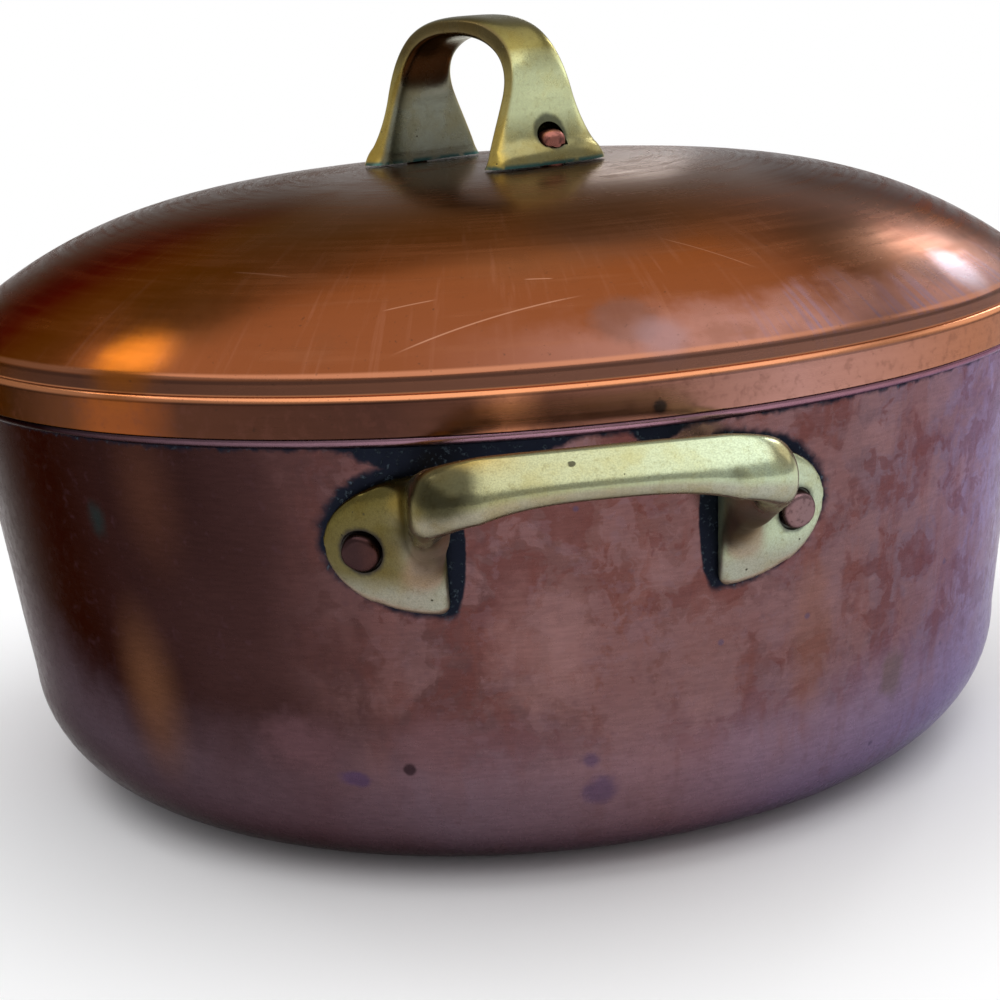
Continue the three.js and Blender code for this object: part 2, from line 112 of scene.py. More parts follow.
def closed_skin(name, grid, start, end):
    """Mesh from a grid of points (row, place round the row, xyz) in millimetres, closed round each row.

    Neighbouring rows are joined by quads. The first row is joined to the point start and the last row to
    the point end by triangles. If the enclosed volume, a third of the sum of each face's centre dotted
    with its area vector, is negative, all faces are turned round.
    """
    rows, around = grid.shape[:2]
    points = np.vstack([grid.reshape(-1, 3), start, end]) * MM
    index = np.arange(rows * around).reshape(rows, around)
    after = np.roll(index, -1, axis=1)
    quads = np.stack([index[:-1], after[:-1], after[1:], index[1:]], -1).reshape(-1, 4)
    first_cap = np.stack([np.full(around, rows * around), after[0], index[0]], -1)
    last_cap = np.stack([np.full(around, rows * around + 1), index[-1], after[-1]], -1)
    triangles = np.vstack([first_cap, last_cap, quads[:, [0, 1, 2]], quads[:, [0, 2, 3]]])
    a, b, c = (points[triangles[:, k]] for k in range(3))
    volume = np.einsum("ij,ij->i", a, np.cross(b, c)).sum() / 6
    faces = quads.tolist() + first_cap.tolist() + last_cap.tolist()
    if volume < 0:
        faces = [face[::-1] for face in faces]
    mesh = bpy.data.meshes.new(name)
    mesh.from_pydata(points, [], faces)
    mesh.shade_smooth()
    mesh.set_sharp_from_angle(angle=sharp_angle)
    piece = bpy.data.objects.new(name, mesh)
    bpy.context.scene.collection.objects.link(piece)
    print(f"{name}: {len(points)} points, {len(faces)} faces, {abs(volume) * 1e6:.1f} cm3")
    return piece


def turned(name, profile, steps, unevenness=None):
    """Surface of revolution: each point (radius, height) goes round the Z axis.

    The first and the last point lie on the axis. unevenness(angle, radius, height) is added to the radius.
    """
    angle = np.arange(steps) * 2 * np.pi / steps
    radius = np.repeat(profile[1:-1, :1], steps, axis=1)
    height = np.repeat(profile[1:-1, 1:], steps, axis=1)
    if unevenness:
        radius = radius + unevenness(angle, radius, height)
    grid = np.stack([radius * np.cos(angle), radius * np.sin(angle), height], -1)
    return closed_skin(name, grid, (0, 0, profile[0, 1]), (0, 0, profile[-1, 1]))


# %% [markdown]
# Blender's modifiers do what is hard to write as one grid: joining two volumes, cutting one out of another
# and smoothing. They are applied at once, so what is handed on is a plain mesh.

# %% Modifiers


def apply_modifiers(piece):
    """Makes what the modifiers give the piece's own mesh."""
    evaluated = piece.evaluated_get(bpy.context.evaluated_depsgraph_get())
    mesh = bpy.data.meshes.new_from_object(evaluated)
    mesh.name = piece.name
    print(f"{piece.name}: {len(mesh.polygons)} faces after {', '.join(m.name for m in piece.modifiers)}")
    piece.modifiers.clear()
    piece.data = mesh
    mesh.shade_smooth()
    mesh.set_sharp_from_angle(angle=sharp_angle)


def combine(piece, others, operation):
    """Joins the others' volume to the piece (UNION) or takes it out (DIFFERENCE)."""
    for other in others:
        modifier = piece.modifiers.new(operation.lower(), "BOOLEAN")
        modifier.operation = operation
        modifier.solver = "EXACT"
        modifier.object = other
    apply_modifiers(piece)
    for other in others:
        bpy.data.objects.remove(other)


# %% [markdown]
# A profile is drawn like a lathe drawing, from straight runs and arcs that share their end points. A path
# for a section needs the same, but at given shares of its length, so that two lines can run side by side.

# %% Lines


def arc(centre, radii, start, end, steps):
    """Points of an ellipse's arc: the centre plus the radii times cosine and sine of the angle."""
    angle = np.radians(np.linspace(start, end, steps + 1))
    return np.stack([centre[0] + radii[0] * np.cos(angle), centre[1] + radii[1] * np.sin(angle)], -1)


def straight(start, end, steps):
    """Points at equal spaces from start to end."""
    return np.linspace(start, end, steps + 1)


def along(points, t):
    """Straight line through two points, or a quadratic Bezier over three: weights (1-t)^2, 2t(1-t), t^2."""
    t = t[:, None]
    if len(points) == 2:
        start, end = (np.array(point) for point in points)
        return start + t * (end - start)
    start, corner, end = (np.array(point) for point in points)
    return (1 - t) ** 2 * start + 2 * t * (1 - t) * corner + t**2 * end


def joined(*runs):
    """One line from several runs of points, each point kept once."""
    line = np.vstack(runs)
    step = np.linalg.norm(np.diff(line, axis=0), axis=1)
    return line[np.insert(step > 1e-6, 0, True)]


# %% [markdown]
# ## The pot
# The real pot is one disc of copper, drawn down into a cup, planished and then rolled at its lip into a
# bead with a short neck above it for the lid. A profile turned round the axis makes exactly that. Hand
# work leaves the wall a little uneven, which the eye sees only in the reflections, so slow waves of about
# a tenth of a millimetre are added to the radius of the wall.

# %% Unevenness of worked sheet


def sheet_waves(seed, amount, low, high, fade):
    """Radius error of hand-worked sheet: a sum of waves round the axis and up the wall.

    Each wave is the cosine of a whole number of turns plus a slow climb with height, with a phase drawn
    from the seed. The sum fades to nothing outside the heights from low to high.
    """
    draw = np.random.default_rng(seed)
    turns = np.arange(2, 14)
    phase = draw.uniform(0, 2 * np.pi, len(turns))
    climb = draw.uniform(-0.09, 0.09, len(turns))
    share = amount / np.sqrt(turns)

    def unevenness(angle, radius, height):
        waves = sum(
            s * np.cos(t * angle[None, :] + c * height + p)
            for t, c, s, p in zip(turns, climb, share, phase)
        )
        window = np.clip((height - low) / fade, 0, 1) * np.clip((high - height) / fade, 0, 1)
        return waves * window

    return unevenness


# %% Pot shell
around_steps = 320


def pot_profile():
    """Outer line from the base's centre up the wall and over the bead, then the inner line back down."""
    corner = (foot_radius - corner_radius, corner_radius)
    bead_middle = lip_height + bead_half_height
    bead_top = lip_height + 2 * bead_half_height
    bead = (bead_radius - wall_radius - bead_root, bead_half_height)
    rim = pot_sheet / 2
    inner_corner = corner_radius - pot_sheet
    inner_wall = wall_radius - pot_sheet
    return joined(
        straight((0, 0), (corner[0], 0), 10),
        arc(corner, (corner_radius, corner_radius), -90, 0, 18),
        straight((foot_radius, corner_radius), (wall_radius, lip_height - bead_root), 22),
        arc((wall_radius + bead_root, bead_middle), bead, -90, 90, 12),
        straight((neck_radius, bead_top + bead_root), (neck_radius, pot_height - rim), 4),
        arc((neck_radius - rim, pot_height - rim), (rim, rim), 0, 180, 8),
        straight((neck_radius - pot_sheet, bead_top), (inner_wall, lip_height), 3),
        straight((inner_wall, lip_height), (foot_radius - pot_sheet, corner_radius), 18),
        arc(corner, (inner_corner, inner_corner), 0, -90, 14),
        straight((corner[0], pot_sheet), (0, pot_sheet), 8),
    )


pot_waves = sheet_waves(seed=7, amount=0.09, low=14, high=91, fade=12)
pot = turned("pot_skin", pot_profile(), around_steps, pot_waves)

# %% [markdown]
# ## The lid
# The lid is spun over a wooden form: a skirt that slips over the neck, a small riser step and a dome with
# a flat crown and full shoulders. A power law gives that dome, because a power near four stays flat in the
# middle and drops fast at the rim. Where the dome turns down into the riser its edge is only a little
# rounded, and that narrow rounding catches the light as a bright line, which the colour also paints in as
# a highlight.

# %% Lid shell
dome_rise = lid_top - dome_foot
edge_round = 0.6  # rounding where the dome turns down into the riser
skirt_edge = 0.25
skirt_foot = skirt_bottom - 1.0  # the skirt's outer edge hangs a little over the bead's shoulder
skirt_heel = skirt_bottom - 0.4
step_inside = step_height - 1.0  # height of the step's inner face


def dome(rim, foot, steps):
    """Dome points from the crown to the rim: height is the rise times one minus (radius / rim) to a power.

    The radii crowd towards the rim, where the dome is steep, as a sine to the power 0.8.
    """
    radius = rim * np.sin(np.linspace(0, np.pi / 2, steps + 1)) ** 0.8
    return np.stack([radius, foot + dome_rise * (1 - (radius / rim) ** dome_power)], -1)


def lid_profile():
    """Inner line from the crown down to the skirt's edge, then the outer line back up to the crown."""
    inner_dome = dome(dome_radius - lid_sheet, dome_foot - lid_sheet, 36)
    turn_in = (skirt_radius - step_radius, step_height - skirt_top)
    outer_dome = dome(dome_radius, dome_foot, 60)
    outer_dome = outer_dome[outer_dome[:, 0] < dome_radius - edge_round]
    riser = np.array([step_radius - dome_radius, step_height - dome_foot])
    riser_start = np.array([dome_radius, dome_foot]) + riser * edge_round / (dome_foot - step_height)
    turn_down = [outer_dome[-1], (dome_radius, dome_foot), riser_start]
    inner_skirt = skirt_radius - lid_sheet
    inner_dome_foot = (dome_radius - lid_sheet, dome_foot - lid_sheet)
    inner_riser_foot = (step_radius - lid_sheet, step_inside)
    inner_skirt_top = (inner_skirt, step_height - 2 * lid_sheet)
    outer = joined(
        outer_dome,
        along(turn_down, np.linspace(0, 1, 9)),
        straight(riser_start, (step_radius, step_height), 3),
        arc((step_radius, skirt_top), turn_in, 90, 0, 10),
        straight((skirt_radius, skirt_top), (skirt_radius, skirt_foot + skirt_edge), 5),
        arc((skirt_radius - skirt_edge, skirt_foot + skirt_edge), (skirt_edge, skirt_edge), 0, -90, 3),
    )
    inner = joined(
        inner_dome,
        straight(inner_dome_foot, inner_riser_foot, 2),
        straight(inner_skirt_top, (inner_skirt, skirt_heel + skirt_edge), 4),
        arc((inner_skirt + skirt_edge, skirt_heel + skirt_edge), (skirt_edge, skirt_edge), 180, 270, 3),
    )
    return joined(inner, outer[::-1])


lid_waves = sheet_waves(seed=11, amount=0.08, low=108, high=129, fade=8)
lid = turned("lid_skin", lid_profile(), around_steps, lid_waves)

# %% [markdown]
# ## The side handles
# Each handle is a casting: two half-oval flanges that follow the wall, and an arch that sweeps out of them,
# runs outwards, turns a corner and becomes a bar whose broad upper face tilts outwards. The flanges and the
# arch are made by carrying a section along a path and are then joined to one. The section is a
# superellipse, whose power says how square it is, and the power changes on the way: nearly a rectangle
# against the wall, nearly round on the legs, with a flat facet on the bar.

# %% Sections carried along a path


def section_ring(across_power, facet_power, corners):
    """Superellipse round the unit square, for each section: |x|^p + |y|^p = 1.

    across_power has the power of the inner and the outer half. The quarter that faces outwards and up has
    its own power, facet_power, and a power near one makes it a straight facet.
    """
    angle = np.arange(corners) * 2 * np.pi / corners
    x, y = np.cos(angle), np.sin(angle)
    inner, outer = across_power[:, :1], across_power[:, 1:]
    power = np.where(x[None, :] < -1e-9, inner, outer)
    power = np.where((x[None, :] > 1e-9) & (y[None, :] > 1e-9), facet_power[:, None], power)
    return np.sign(x) * np.abs(x) ** (2 / power), np.sign(y) * np.abs(y) ** (2 / power)


def carried(name, inner, outer, side, across_power, facet_power, corners=64):
    """Closed skin over sections, each the middle of inner and outer plus x times half their difference.

    To that comes y times the vector side, where x and y run round the section's superellipse.
    """
    x, y = section_ring(across_power, facet_power, corners)
    middle = (inner + outer) / 2
    half = (outer - inner) / 2
    grid = middle[:, None] + x[..., None] * half[:, None] + y[..., None] * side[:, None]
    return closed_skin(name, grid, middle[0], middle[-1])


# %% Side handle's sizes
handle_level = 74.0
handle_reach = 48.1
flange_inner = 25.6
flange_half_height = 13.9
flange_thick = 3.4
flange_tip_thick = 1.7
flange_edge = 2.0
shoulder_reach = 38.0
root_length = 8.0  # from the wall to where the straight leg starts
leg_outer = 33.2
leg_spread = 0.6
bar_inner_bend = 6.0
bar_outer_bend = 10.0
bar_back = bar_front - 10
bar_top = 95.8
bar_bottom = bar_top - 8.1
bar_end_bottom = bar_top - 10.6
leg_end_bottom = bar_top - 16.0
leg_foot_bottom = bar_top - 24.2
leg_root_bottom = bar_top - 32.0
leg_end_top = bar_top - 2.4
leg_foot_top = bar_top - 6.4
leg_root_top = bar_top - 9.2
bar_tilt = 1.0  # the bar's front ridge hangs this much below its middle, its back stands this much above
rivet_reach = 40.5
seat_radius_here = wall_radius - (lip_height - handle_level) * wall_slope
square_back, soft_face = 7.0, 3.0  # powers of a flange's section
bar_back_power, bar_face_power, facet_power = 2.4, 2.2, 1.35  # and of the bar's


def on_wall(reach, lift):
    """Point above the wall in plan: the arc length reach as an angle, at the wall's radius plus lift."""
    angle = reach / seat_radius_here
    radius = seat_radius_here + lift
    return np.stack([radius * np.sin(angle), radius * np.cos(angle)], -1)


def ramp(start, end, power, t):
    """From start to end as one minus (1 - t) to a power: fast at first where the power is over one."""
    return end + (start - end) * (1 - t) ** power


# %% [markdown]
# Half of the handle is drawn and then mirrored. A flange is half an ellipse that grows thinner towards its
# tip. The arch has four stretches: the root that leaves the flange, the straight leg, the corner and the bar.
# Each has an inner and an outer line in plan and two heights that change from one end to the other, which is
# how a pattern maker would take it off the real one with callipers.

# %% Sections of the flanges and the arch


def handle_sections(inner, outer, top, bottom, upright, facet):
    """Sections in space from two plan lines and the heights of the upper and the lower edge.

    The side vector is half the height, and it leans outwards with the wall by slope * (1 - upright). The
    facet raises the inner point and lowers the outer one by the tilt. The powers go from the flange's to
    the bar's with upright, and the facet's quarter on to its own power with facet.
    """
    level, rise = (top + bottom) / 2, (top - bottom) / 2
    outward = inner / np.linalg.norm(inner, axis=1)[:, None]
    lean = wall_slope * (1 - upright) * rise
    tilt = bar_tilt * facet
    inner_power = square_back + (bar_back_power - square_back) * upright
    outer_power = soft_face + (bar_face_power - soft_face) * upright
    return {
        "inner": np.stack([inner[:, 0], -inner[:, 1], level + tilt], -1),
        "outer": np.stack([outer[:, 0], -outer[:, 1], level - tilt], -1),
        "side": np.stack([outward[:, 0] * lean, -outward[:, 1] * lean, rise], -1),
        "across_power": np.stack([inner_power, outer_power], -1),
        "facet_power": outer_power + (facet_power - outer_power) * facet,
    }


def flange_sections():
    """Half an ellipse on a straight edge: its half height is h * sqrt(1 - share^2), thinning to the tip.

    The steps crowd as a sine towards the tip and towards the straight edge, which is a quarter circle.
    """
    quarter = np.linspace(0, np.pi / 2, 17)
    tip = handle_reach + (shoulder_reach - handle_reach) * np.sin(quarter)
    plate = np.linspace(shoulder_reach, flange_inner + flange_edge, 9)[1:-1]
    edge = flange_inner + flange_edge * (1 - np.sin(quarter[::2]))
    reach = np.concatenate([tip, plate, edge])
    share = (reach - flange_inner) / (handle_reach + gap - flange_inner)
    from_edge = np.clip((reach - flange_inner) / flange_edge, 0, 1)
    rounding = flange_edge * (1 - np.sqrt(1 - (1 - from_edge) ** 2))
    half = flange_half_height * np.sqrt(1 - share**2) - rounding
    grown = np.clip((handle_reach - reach) / (handle_reach - shoulder_reach), 0, 1)
    lift = flange_tip_thick + (gap + flange_thick - flange_tip_thick) * np.sin(grown * np.pi / 2)
    inner, outer = on_wall(reach, gap), on_wall(reach, lift - rounding / 2)
    none = np.zeros_like(reach)
    return handle_sections(inner, outer, handle_level + half, handle_level - half, none, none)


def stretch(steps, inner, outer, top, bottom, upright, facet):
    """One stretch of the arch: two plan lines with ramped heights and shares."""
    t = np.linspace(0, 1, steps + 1)
    ramps = [ramp(*ends, t) for ends in (top, bottom, upright, facet)]
    return [along(inner, t), along(outer, t), *ramps]


def arch_sections():
    """Half the arch: out of the flange, straight out, round the corner and along to the bar's middle."""
    seat = on_wall(flange_inner, gap + flange_thick / 2)[1]
    at_wall = on_wall(flange_inner, gap)[1]
    leg_foot = at_wall + root_length
    shoulder = on_wall(shoulder_reach, flange_thick)
    sweep = [shoulder, (leg_outer, at_wall + flange_thick), (leg_outer, leg_foot)]
    leg_end = (leg_outer + leg_spread, bar_back)
    inner_bend = bar_back - bar_inner_bend
    bar_start = (flange_inner - bar_inner_bend, bar_back)
    bar_end = (leg_outer - bar_outer_bend, bar_front)
    root = stretch(
        16,
        [(flange_inner + gap, seat), (flange_inner, leg_foot)],
        sweep,
        (leg_root_top, leg_foot_top, 1),
        (leg_root_bottom, leg_foot_bottom, 1.2),
        (0, 0, 1),
        (0, 0, 1),
    )
    leg = stretch(
        10,
        [(flange_inner, leg_foot), (flange_inner, inner_bend)],
        [(leg_outer, leg_foot), leg_end],
        (leg_foot_top, leg_end_top, 1),
        (leg_foot_bottom, leg_end_bottom, 1),
        (0, 1, 1),
        (0, 0, 1),
    )
    corner = stretch(
        24,
        [(flange_inner, inner_bend), (flange_inner, bar_back), bar_start],
        [leg_end, (leg_outer + leg_spread, bar_front), bar_end],
        (leg_end_top, bar_top, 1.6),
        (leg_end_bottom, bar_end_bottom, 1.3),
        (1, 1, 1),
        (0, 1, 1),
    )
    bar = stretch(
        18,
        [bar_start, (0, bar_back)],
        [bar_end, (0, bar_front)],
        (bar_top, bar_top, 1),
        (bar_end_bottom, bar_bottom, 3),
        (1, 1, 1),
        (1, 1, 1),
    )
    rest = [[line[1:] for line in part] for part in (leg, corner, bar)]
    return handle_sections(*(np.concatenate(lines) for lines in zip(root, *rest)))


def mirrored(sections):
    """The same sections at the other side of the handle, in the opposite order."""
    backwards = {key: value[::-1] for key, value in sections.items()}
    for key in ("inner", "outer", "side"):
        backwards[key] = backwards[key] * np.array([-1, 1, 1])
    return backwards


# %% [markdown]
# A casting has no sharp hollows, because sand crumbles there and the metal shrinks as it cools. A boolean
# leaves the hollows sharp, so the joined shape gets even faces first and is then smoothed, most of all where
# the legs leave their flanges. A bevel can't do this, for the edge between the two shapes is too uneven.

# %% Soft hollows and the whole side handle


def soften_junctions(casting):
    """Even faces all over, then more and more smoothing towards the hollows, as a casting has them.

    Each smoothing step moves a point halfway to the mean of its neighbours. Three groups of points get steps
    of their own: the hollow where a leg leaves its flange, the hollow under the leg, which is the widest,
    and the underside of the bar's corner. The groups are chosen by the distance from the pot's wall, the
    height and the reach along the wall. At the end a few steps go over the whole casting.
    """
    grain = 0.42
    hollow_end, under_leg_end, corner_start = 14.0, 12.0, 10.0  # distances from the wall
    under_leg_top, under_corner_top = handle_level + 4.5, handle_level + 9.0
    remesh = casting.modifiers.new("even faces", "REMESH")
    remesh.mode = "VOXEL"
    remesh.voxel_size = grain * MM
    apply_modifiers(casting)
    count = len(casting.data.vertices)
    place = np.empty(count * 3)
    casting.data.vertices.foreach_get("co", place)
    x, y, z = place.reshape(-1, 3).T / MM
    wall_distance = np.hypot(x, y) - (seat_radius_here + (z - handle_level) * wall_slope)
    reach = np.arctan2(np.abs(x), -y) * seat_radius_here
    hollow = (wall_distance > flange_tip_thick) & (wall_distance < hollow_end) & (reach < shoulder_reach + 2)
    under_leg = (wall_distance > flange_thick - 0.4) & (wall_distance < under_leg_end) & (z < under_leg_top)
    under_leg &= reach < shoulder_reach
    under_corner = (wall_distance > corner_start) & (z < under_corner_top)
    for name, chosen, iterations in (
        ("hollow", hollow, 60),
        ("hollow under the leg", under_leg, 220),
        ("under the corner", under_corner, 30),
    ):
        group = casting.vertex_groups.new(name=name)
        group.add(np.flatnonzero(chosen).tolist(), 1.0, "REPLACE")
        smooth = casting.modifiers.new(name, "SMOOTH")
        smooth.factor = 0.5
        smooth.iterations = iterations
        smooth.vertex_group = group.name
    overall = casting.modifiers.new("even skin", "SMOOTH")
    overall.factor = 0.5
    overall.iterations = 7
    apply_modifiers(casting)
    casting.vertex_groups.clear()


def side_handle(name, turn):
    """Arch and two flanges joined to one casting, turned about Z."""
    half, flange = arch_sections(), flange_sections()
    other_half = {key: value[1:] for key, value in mirrored(half).items()}
    arch = carried(name, **{key: np.concatenate([half[key], other_half[key]]) for key in half})
    flanges = [carried("flange", **flange), carried("flange", **mirrored(flange))]
    combine(arch, flanges, "UNION")
    soften_junctions(arch)
    arch.data.transform(Matrix.Rotation(turn, 4, "Z"))
    return arch


# %% [markdown]
# ## Rivets and the seats cut for them
# A rivet is turned like the pot, on its own axis, and then stood square to the wall. Its head sits in a
# shallow seat that a cutter leaves in the brass. A boolean cut with a turned cutter is that very operation.

# %% Rivets and cutters
shank_radius = 2.4
head_radius = 3.8
head_height = 2.4
head_flat = 2.5
spot_face_radius = 4.2
spot_face_level = 2.7
spot_face_edge = 0.3
inner_head_radius = 4.8
inner_head_height = 1.4
inner_head_round = 1.2
inner_head_rim = 0.5  # the upright part of its height
upright_share = 0.35  # the upright part of an outer head, as a share of its height


def stood(piece, place, direction, turn=0.0):
    """Moves the mesh, not the object: its Z axis is turned to direction and its zero put at place (mm)."""
    spin = Vector((0, 0, 1)).rotation_difference(Vector(direction)).to_matrix().to_4x4()
    move = Matrix.Translation(Vector(place) * MM)
    piece.data.transform(Matrix.Rotation(turn, 4, "Z") @ move @ spin)
    return piece


def wall_place(side):
    """Where a side handle's rivet passes through the wall, and the wall's outward direction there."""
    angle = side * rivet_reach / seat_radius_here
    place = (seat_radius_here * math.sin(angle), -seat_radius_here * math.cos(angle), handle_level)
    direction = Vector((math.sin(angle), -math.cos(angle), -wall_slope)).normalized()
    return place, direction


def rivet_profile(inside, seat, radius, height, flat):
    """Hammered head inside, shank, and the outer head: a dome that is flattened to the radius flat."""
    inner_flat = inner_head_radius - inner_head_round
    inner_end = inside - inner_head_height
    inner_rounding = (inner_head_round, inner_head_height - inner_head_rim)
    upright = height * upright_share
    return joined(
        straight((0, inner_end), (inner_flat, inner_end), 2),
        arc((inner_flat, inside - inner_head_rim), inner_rounding, -90, 0, 5),
        straight((inner_head_radius, inside), (shank_radius, inside), 1),
        straight((shank_radius, inside), (shank_radius, seat), 3),
        straight((radius, seat), (radius, seat + upright), 1),
        arc((flat, seat + upright), (radius - flat, height - upright), 0, 90, 8),
        straight((flat, seat + height), (0, seat + height), 2),
    )


def hammered(seed, amount):
    """Unevenness of a hammered head: the rim's radius changes slowly round the rivet."""
    draw = np.random.default_rng(seed)
    phase = draw.uniform(0, 2 * np.pi, 3)

    def unevenness(angle, radius, height):
        blows = sum(np.cos((k + 2) * angle[None, :] + phase[k] + height) for k in range(3)) / 3
        return -amount * (1 + blows) * (radius > shank_radius + 0.1)

    return unevenness


def handle_rivet(name, side, turn, seed):
    """One rivet of a side handle: turned, stood square to the wall and swung round with the handle."""
    profile = rivet_profile(-pot_sheet - gap, spot_face_level + gap, head_radius, head_height, head_flat)
    piece = turned(name, profile, 48, hammered(seed, 0.12))
    place, direction = wall_place(side)
    return stood(piece, place, direction, turn)


def spot_face(side, turn):
    """Cutter for the seat round a side handle's rivet."""
    reach = 12.0
    flat = spot_face_radius - spot_face_edge
    edge_top = spot_face_level + spot_face_edge
    profile = joined(
        straight((0, spot_face_level), (flat, spot_face_level), 2),
        arc((flat, edge_top), (spot_face_edge, spot_face_edge), -90, 0, 4),
        straight((spot_face_radius, edge_top), (spot_face_radius, reach), 2),
        straight((spot_face_radius, reach), (0, reach), 2),
    )
    place, direction = wall_place(side)
    return stood(turned("cutter", profile, 56), place, direction, turn)


# %% [markdown]
# The back handle is the front one made again half a turn round. Only its rivets differ, because no two are
# hammered alike: each has a seed of its own.

# %% Both side handles with their rivets
brass_pieces = []
rivet_pieces = []
for end, turn, first_seed in (("front", 0.0, 3), ("back", math.pi, 9)):
    handle = side_handle(f"handle_{end}_skin", turn)
    combine(handle, [spot_face(side, turn) for side in (-1, 1)], "DIFFERENCE")
    brass_pieces.append((handle, f"handle_{end}", "pot"))
    for number, (hand, side) in enumerate((("left", -1), ("right", 1))):
        node = f"handle_{end}_rivet_{hand}"
        rivet = handle_rivet(f"{node}_skin", side, turn, first_seed + number)
        rivet_pieces.append((rivet, node, "pot"))

# %% [markdown]
# ## The lid's handle
# The same carrying of a section makes the strap: up one leg, over the crown and down the other. In side
# view the inner and the outer line are half superellipses, so the loop is a little squarer than a circle.
# The strap widens towards its feet by a power of the height that is left.

# %% Strap handle
handle_turn = math.radians(-59.8)
inner_span = 20.0
outer_span = 24.8
loop_spring = 15.0
inner_rise = 13.8
outer_rise = loop_top - loop_spring
inner_loop_power, outer_loop_power = 2.3, 2.5
strap_half_width = 6.9
foot_half_width = 16.2
flare_height = 27.0
flare_power = 1.6
toe_reach = 29.4
toe_thick = 4.4
toe_edge = 0.8
toe_upright = 1.4  # height of the toe's upright end
toe_round = 2.0  # how far back from it the rounding reaches
toe_rise = 0.6  # how much higher than the toe's thickness the rounding ends
heel_inset = 0.4
sweep_inset, sweep_rise = 0.5, 2.1  # corner that the foot's outer sweep is drawn to
lid_rivet_reach = 26.2
lid_rivet_seat = 4.2
lid_seat_radius = 3.8
lid_seat_height = 5.4
lid_head_radius = 3.2
lid_head_height = 3.3
lid_head_flat = 0.4


def crown_line(angle, span, rise, power):
    """Quarter of a superellipse above the spring line: span * cos^(2/p), spring + rise * sin^(2/p)."""
    up, over = np.sin(angle), np.clip(np.cos(angle), 0, 1)
    return np.stack([span * over ** (2 / power), loop_spring + rise * up ** (2 / power)], -1)


def half_strap():
    """Side view of half the strap, from the front toe to the top of the crown, with the section's powers.

    The outer line goes up the toe's end, rounds over it and sweeps in to the spring line. The inner line goes
    up from the heel. From the spring line on, both are quarters of a superellipse.
    """
    square, soft, strap_power = 4.4, 2.4, 3.6
    heel = np.array([inner_span - heel_inset, toe_thick - 2 * toe_edge])
    toe_side = (toe_reach, toe_upright)
    toe_corner = (toe_reach, toe_thick - toe_edge)
    toe_top = (toe_reach - toe_round, toe_thick + toe_rise)
    rounding = along([toe_side, toe_corner, toe_top], np.linspace(0, 1, 12))
    outer = [np.vstack([[toe_reach, gap], rounding])]
    low = np.linspace(gap, heel[1], len(outer[0]))
    inner = [np.stack([np.full_like(low, heel[0]), low], -1)]
    t = np.linspace(0, 1, 31)[1:]
    inner.append(along([heel, (inner_span, loop_spring)], t))
    sweep_corner = (outer_span + sweep_inset, toe_thick + sweep_rise)
    outer.append(along([toe_top, sweep_corner, (outer_span, loop_spring)], t))
    angle = np.linspace(0, np.pi / 2, 41)[1:]
    inner.append(crown_line(angle, inner_span, inner_rise, inner_loop_power))
    outer.append(crown_line(angle, outer_span, outer_rise, outer_loop_power))
    on_strap = np.concatenate([np.zeros_like(low), t, np.ones_like(angle)])
    inner_power = square + (strap_power - square) * on_strap
    outer_power = soft + (strap_power - soft) * on_strap
    return np.vstack(inner), np.vstack(outer), inner_power, outer_power


def strap_handle(name):
    """The half strap and its mirror image, with the flared half width at each section's mean height."""
    inner, outer, inner_power, outer_power = half_strap()
    height = (inner[:, 1] + outer[:, 1]) / 2
    share = np.clip(1 - height / flare_height, 0, 1)
    width = strap_half_width + (foot_half_width - strap_half_width) * share**flare_power

    def both(x, z):
        x, z = np.concatenate([x, -x[-2::-1]]), np.concatenate([z, z[-2::-1]])
        return np.stack([x, np.zeros_like(x), z], -1)

    def there_and_back(values):
        return np.concatenate([values, values[-2::-1]])

    wide = there_and_back(width)
    side = np.stack([np.zeros_like(wide), wide, np.zeros_like(wide)], -1)
    powers = np.stack([there_and_back(inner_power), there_and_back(outer_power)], -1)
    piece = carried(name, both(*inner.T), both(*outer.T), side, powers, powers[:, 1])
    return stood(piece, (0, 0, lid_top), (0, 0, 1))


def at_foot(piece, direction):
    """Puts a piece drawn on the axis at a foot of the strap, on the lid's crown."""
    piece.data.transform(Matrix.Translation(Vector((direction * lid_rivet_reach, 0, lid_top)) * MM))
    return piece


def rivet_seat():
    """Cutter for the pocket in a foot: a flat seat, straight walls and a domed end."""
    wall = 2.0
    return turned(
        "cutter",
        joined(
            straight((0, lid_rivet_seat), (lid_seat_radius, lid_rivet_seat), 2),
            straight((lid_seat_radius, lid_rivet_seat), (lid_seat_radius, lid_rivet_seat + wall), 2),
            arc((0, lid_rivet_seat + wall), (lid_seat_radius, lid_seat_height - wall), 0, 90, 12),
        ),
        56,
    )


strap = strap_handle("lid_handle_skin")
combine(strap, [at_foot(rivet_seat(), direction) for direction in (-1, 1)], "DIFFERENCE")
lid_rivet_line = rivet_profile(
    -lid_sheet - 2 * gap, lid_rivet_seat + gap, lid_head_radius, lid_head_height, lid_head_flat
)
lid_rivets = []
for name, direction, seed in (("lid_rivet_front", 1, 22), ("lid_rivet_back", -1, 20)):
    rivet = at_foot(turned(f"{name}_skin", lid_rivet_line, 40, hammered(seed, 0.1)), direction)
    rivet_pieces.append((rivet, name, "lid"))
    lid_rivets.append(rivet)
for piece in (strap, *lid_rivets):
    piece.data.transform(Matrix.Rotation(handle_turn, 4, "Z"))
brass_pieces.append((strap, "lid_handle", "lid"))

# %% [markdown]
# ## Mixing a finish
# A metal finish is one principled shader with metallic 1. What makes it copper or brass is the colour of
# its reflection, and what makes it old is that this colour, the roughness and the height of the surface
# all vary from place to place. The small class below adds the nodes for that one at a time. It works on
# Object coordinates in millimetres, so a pattern's scale can be compared with the piece.

# %% Finish helper


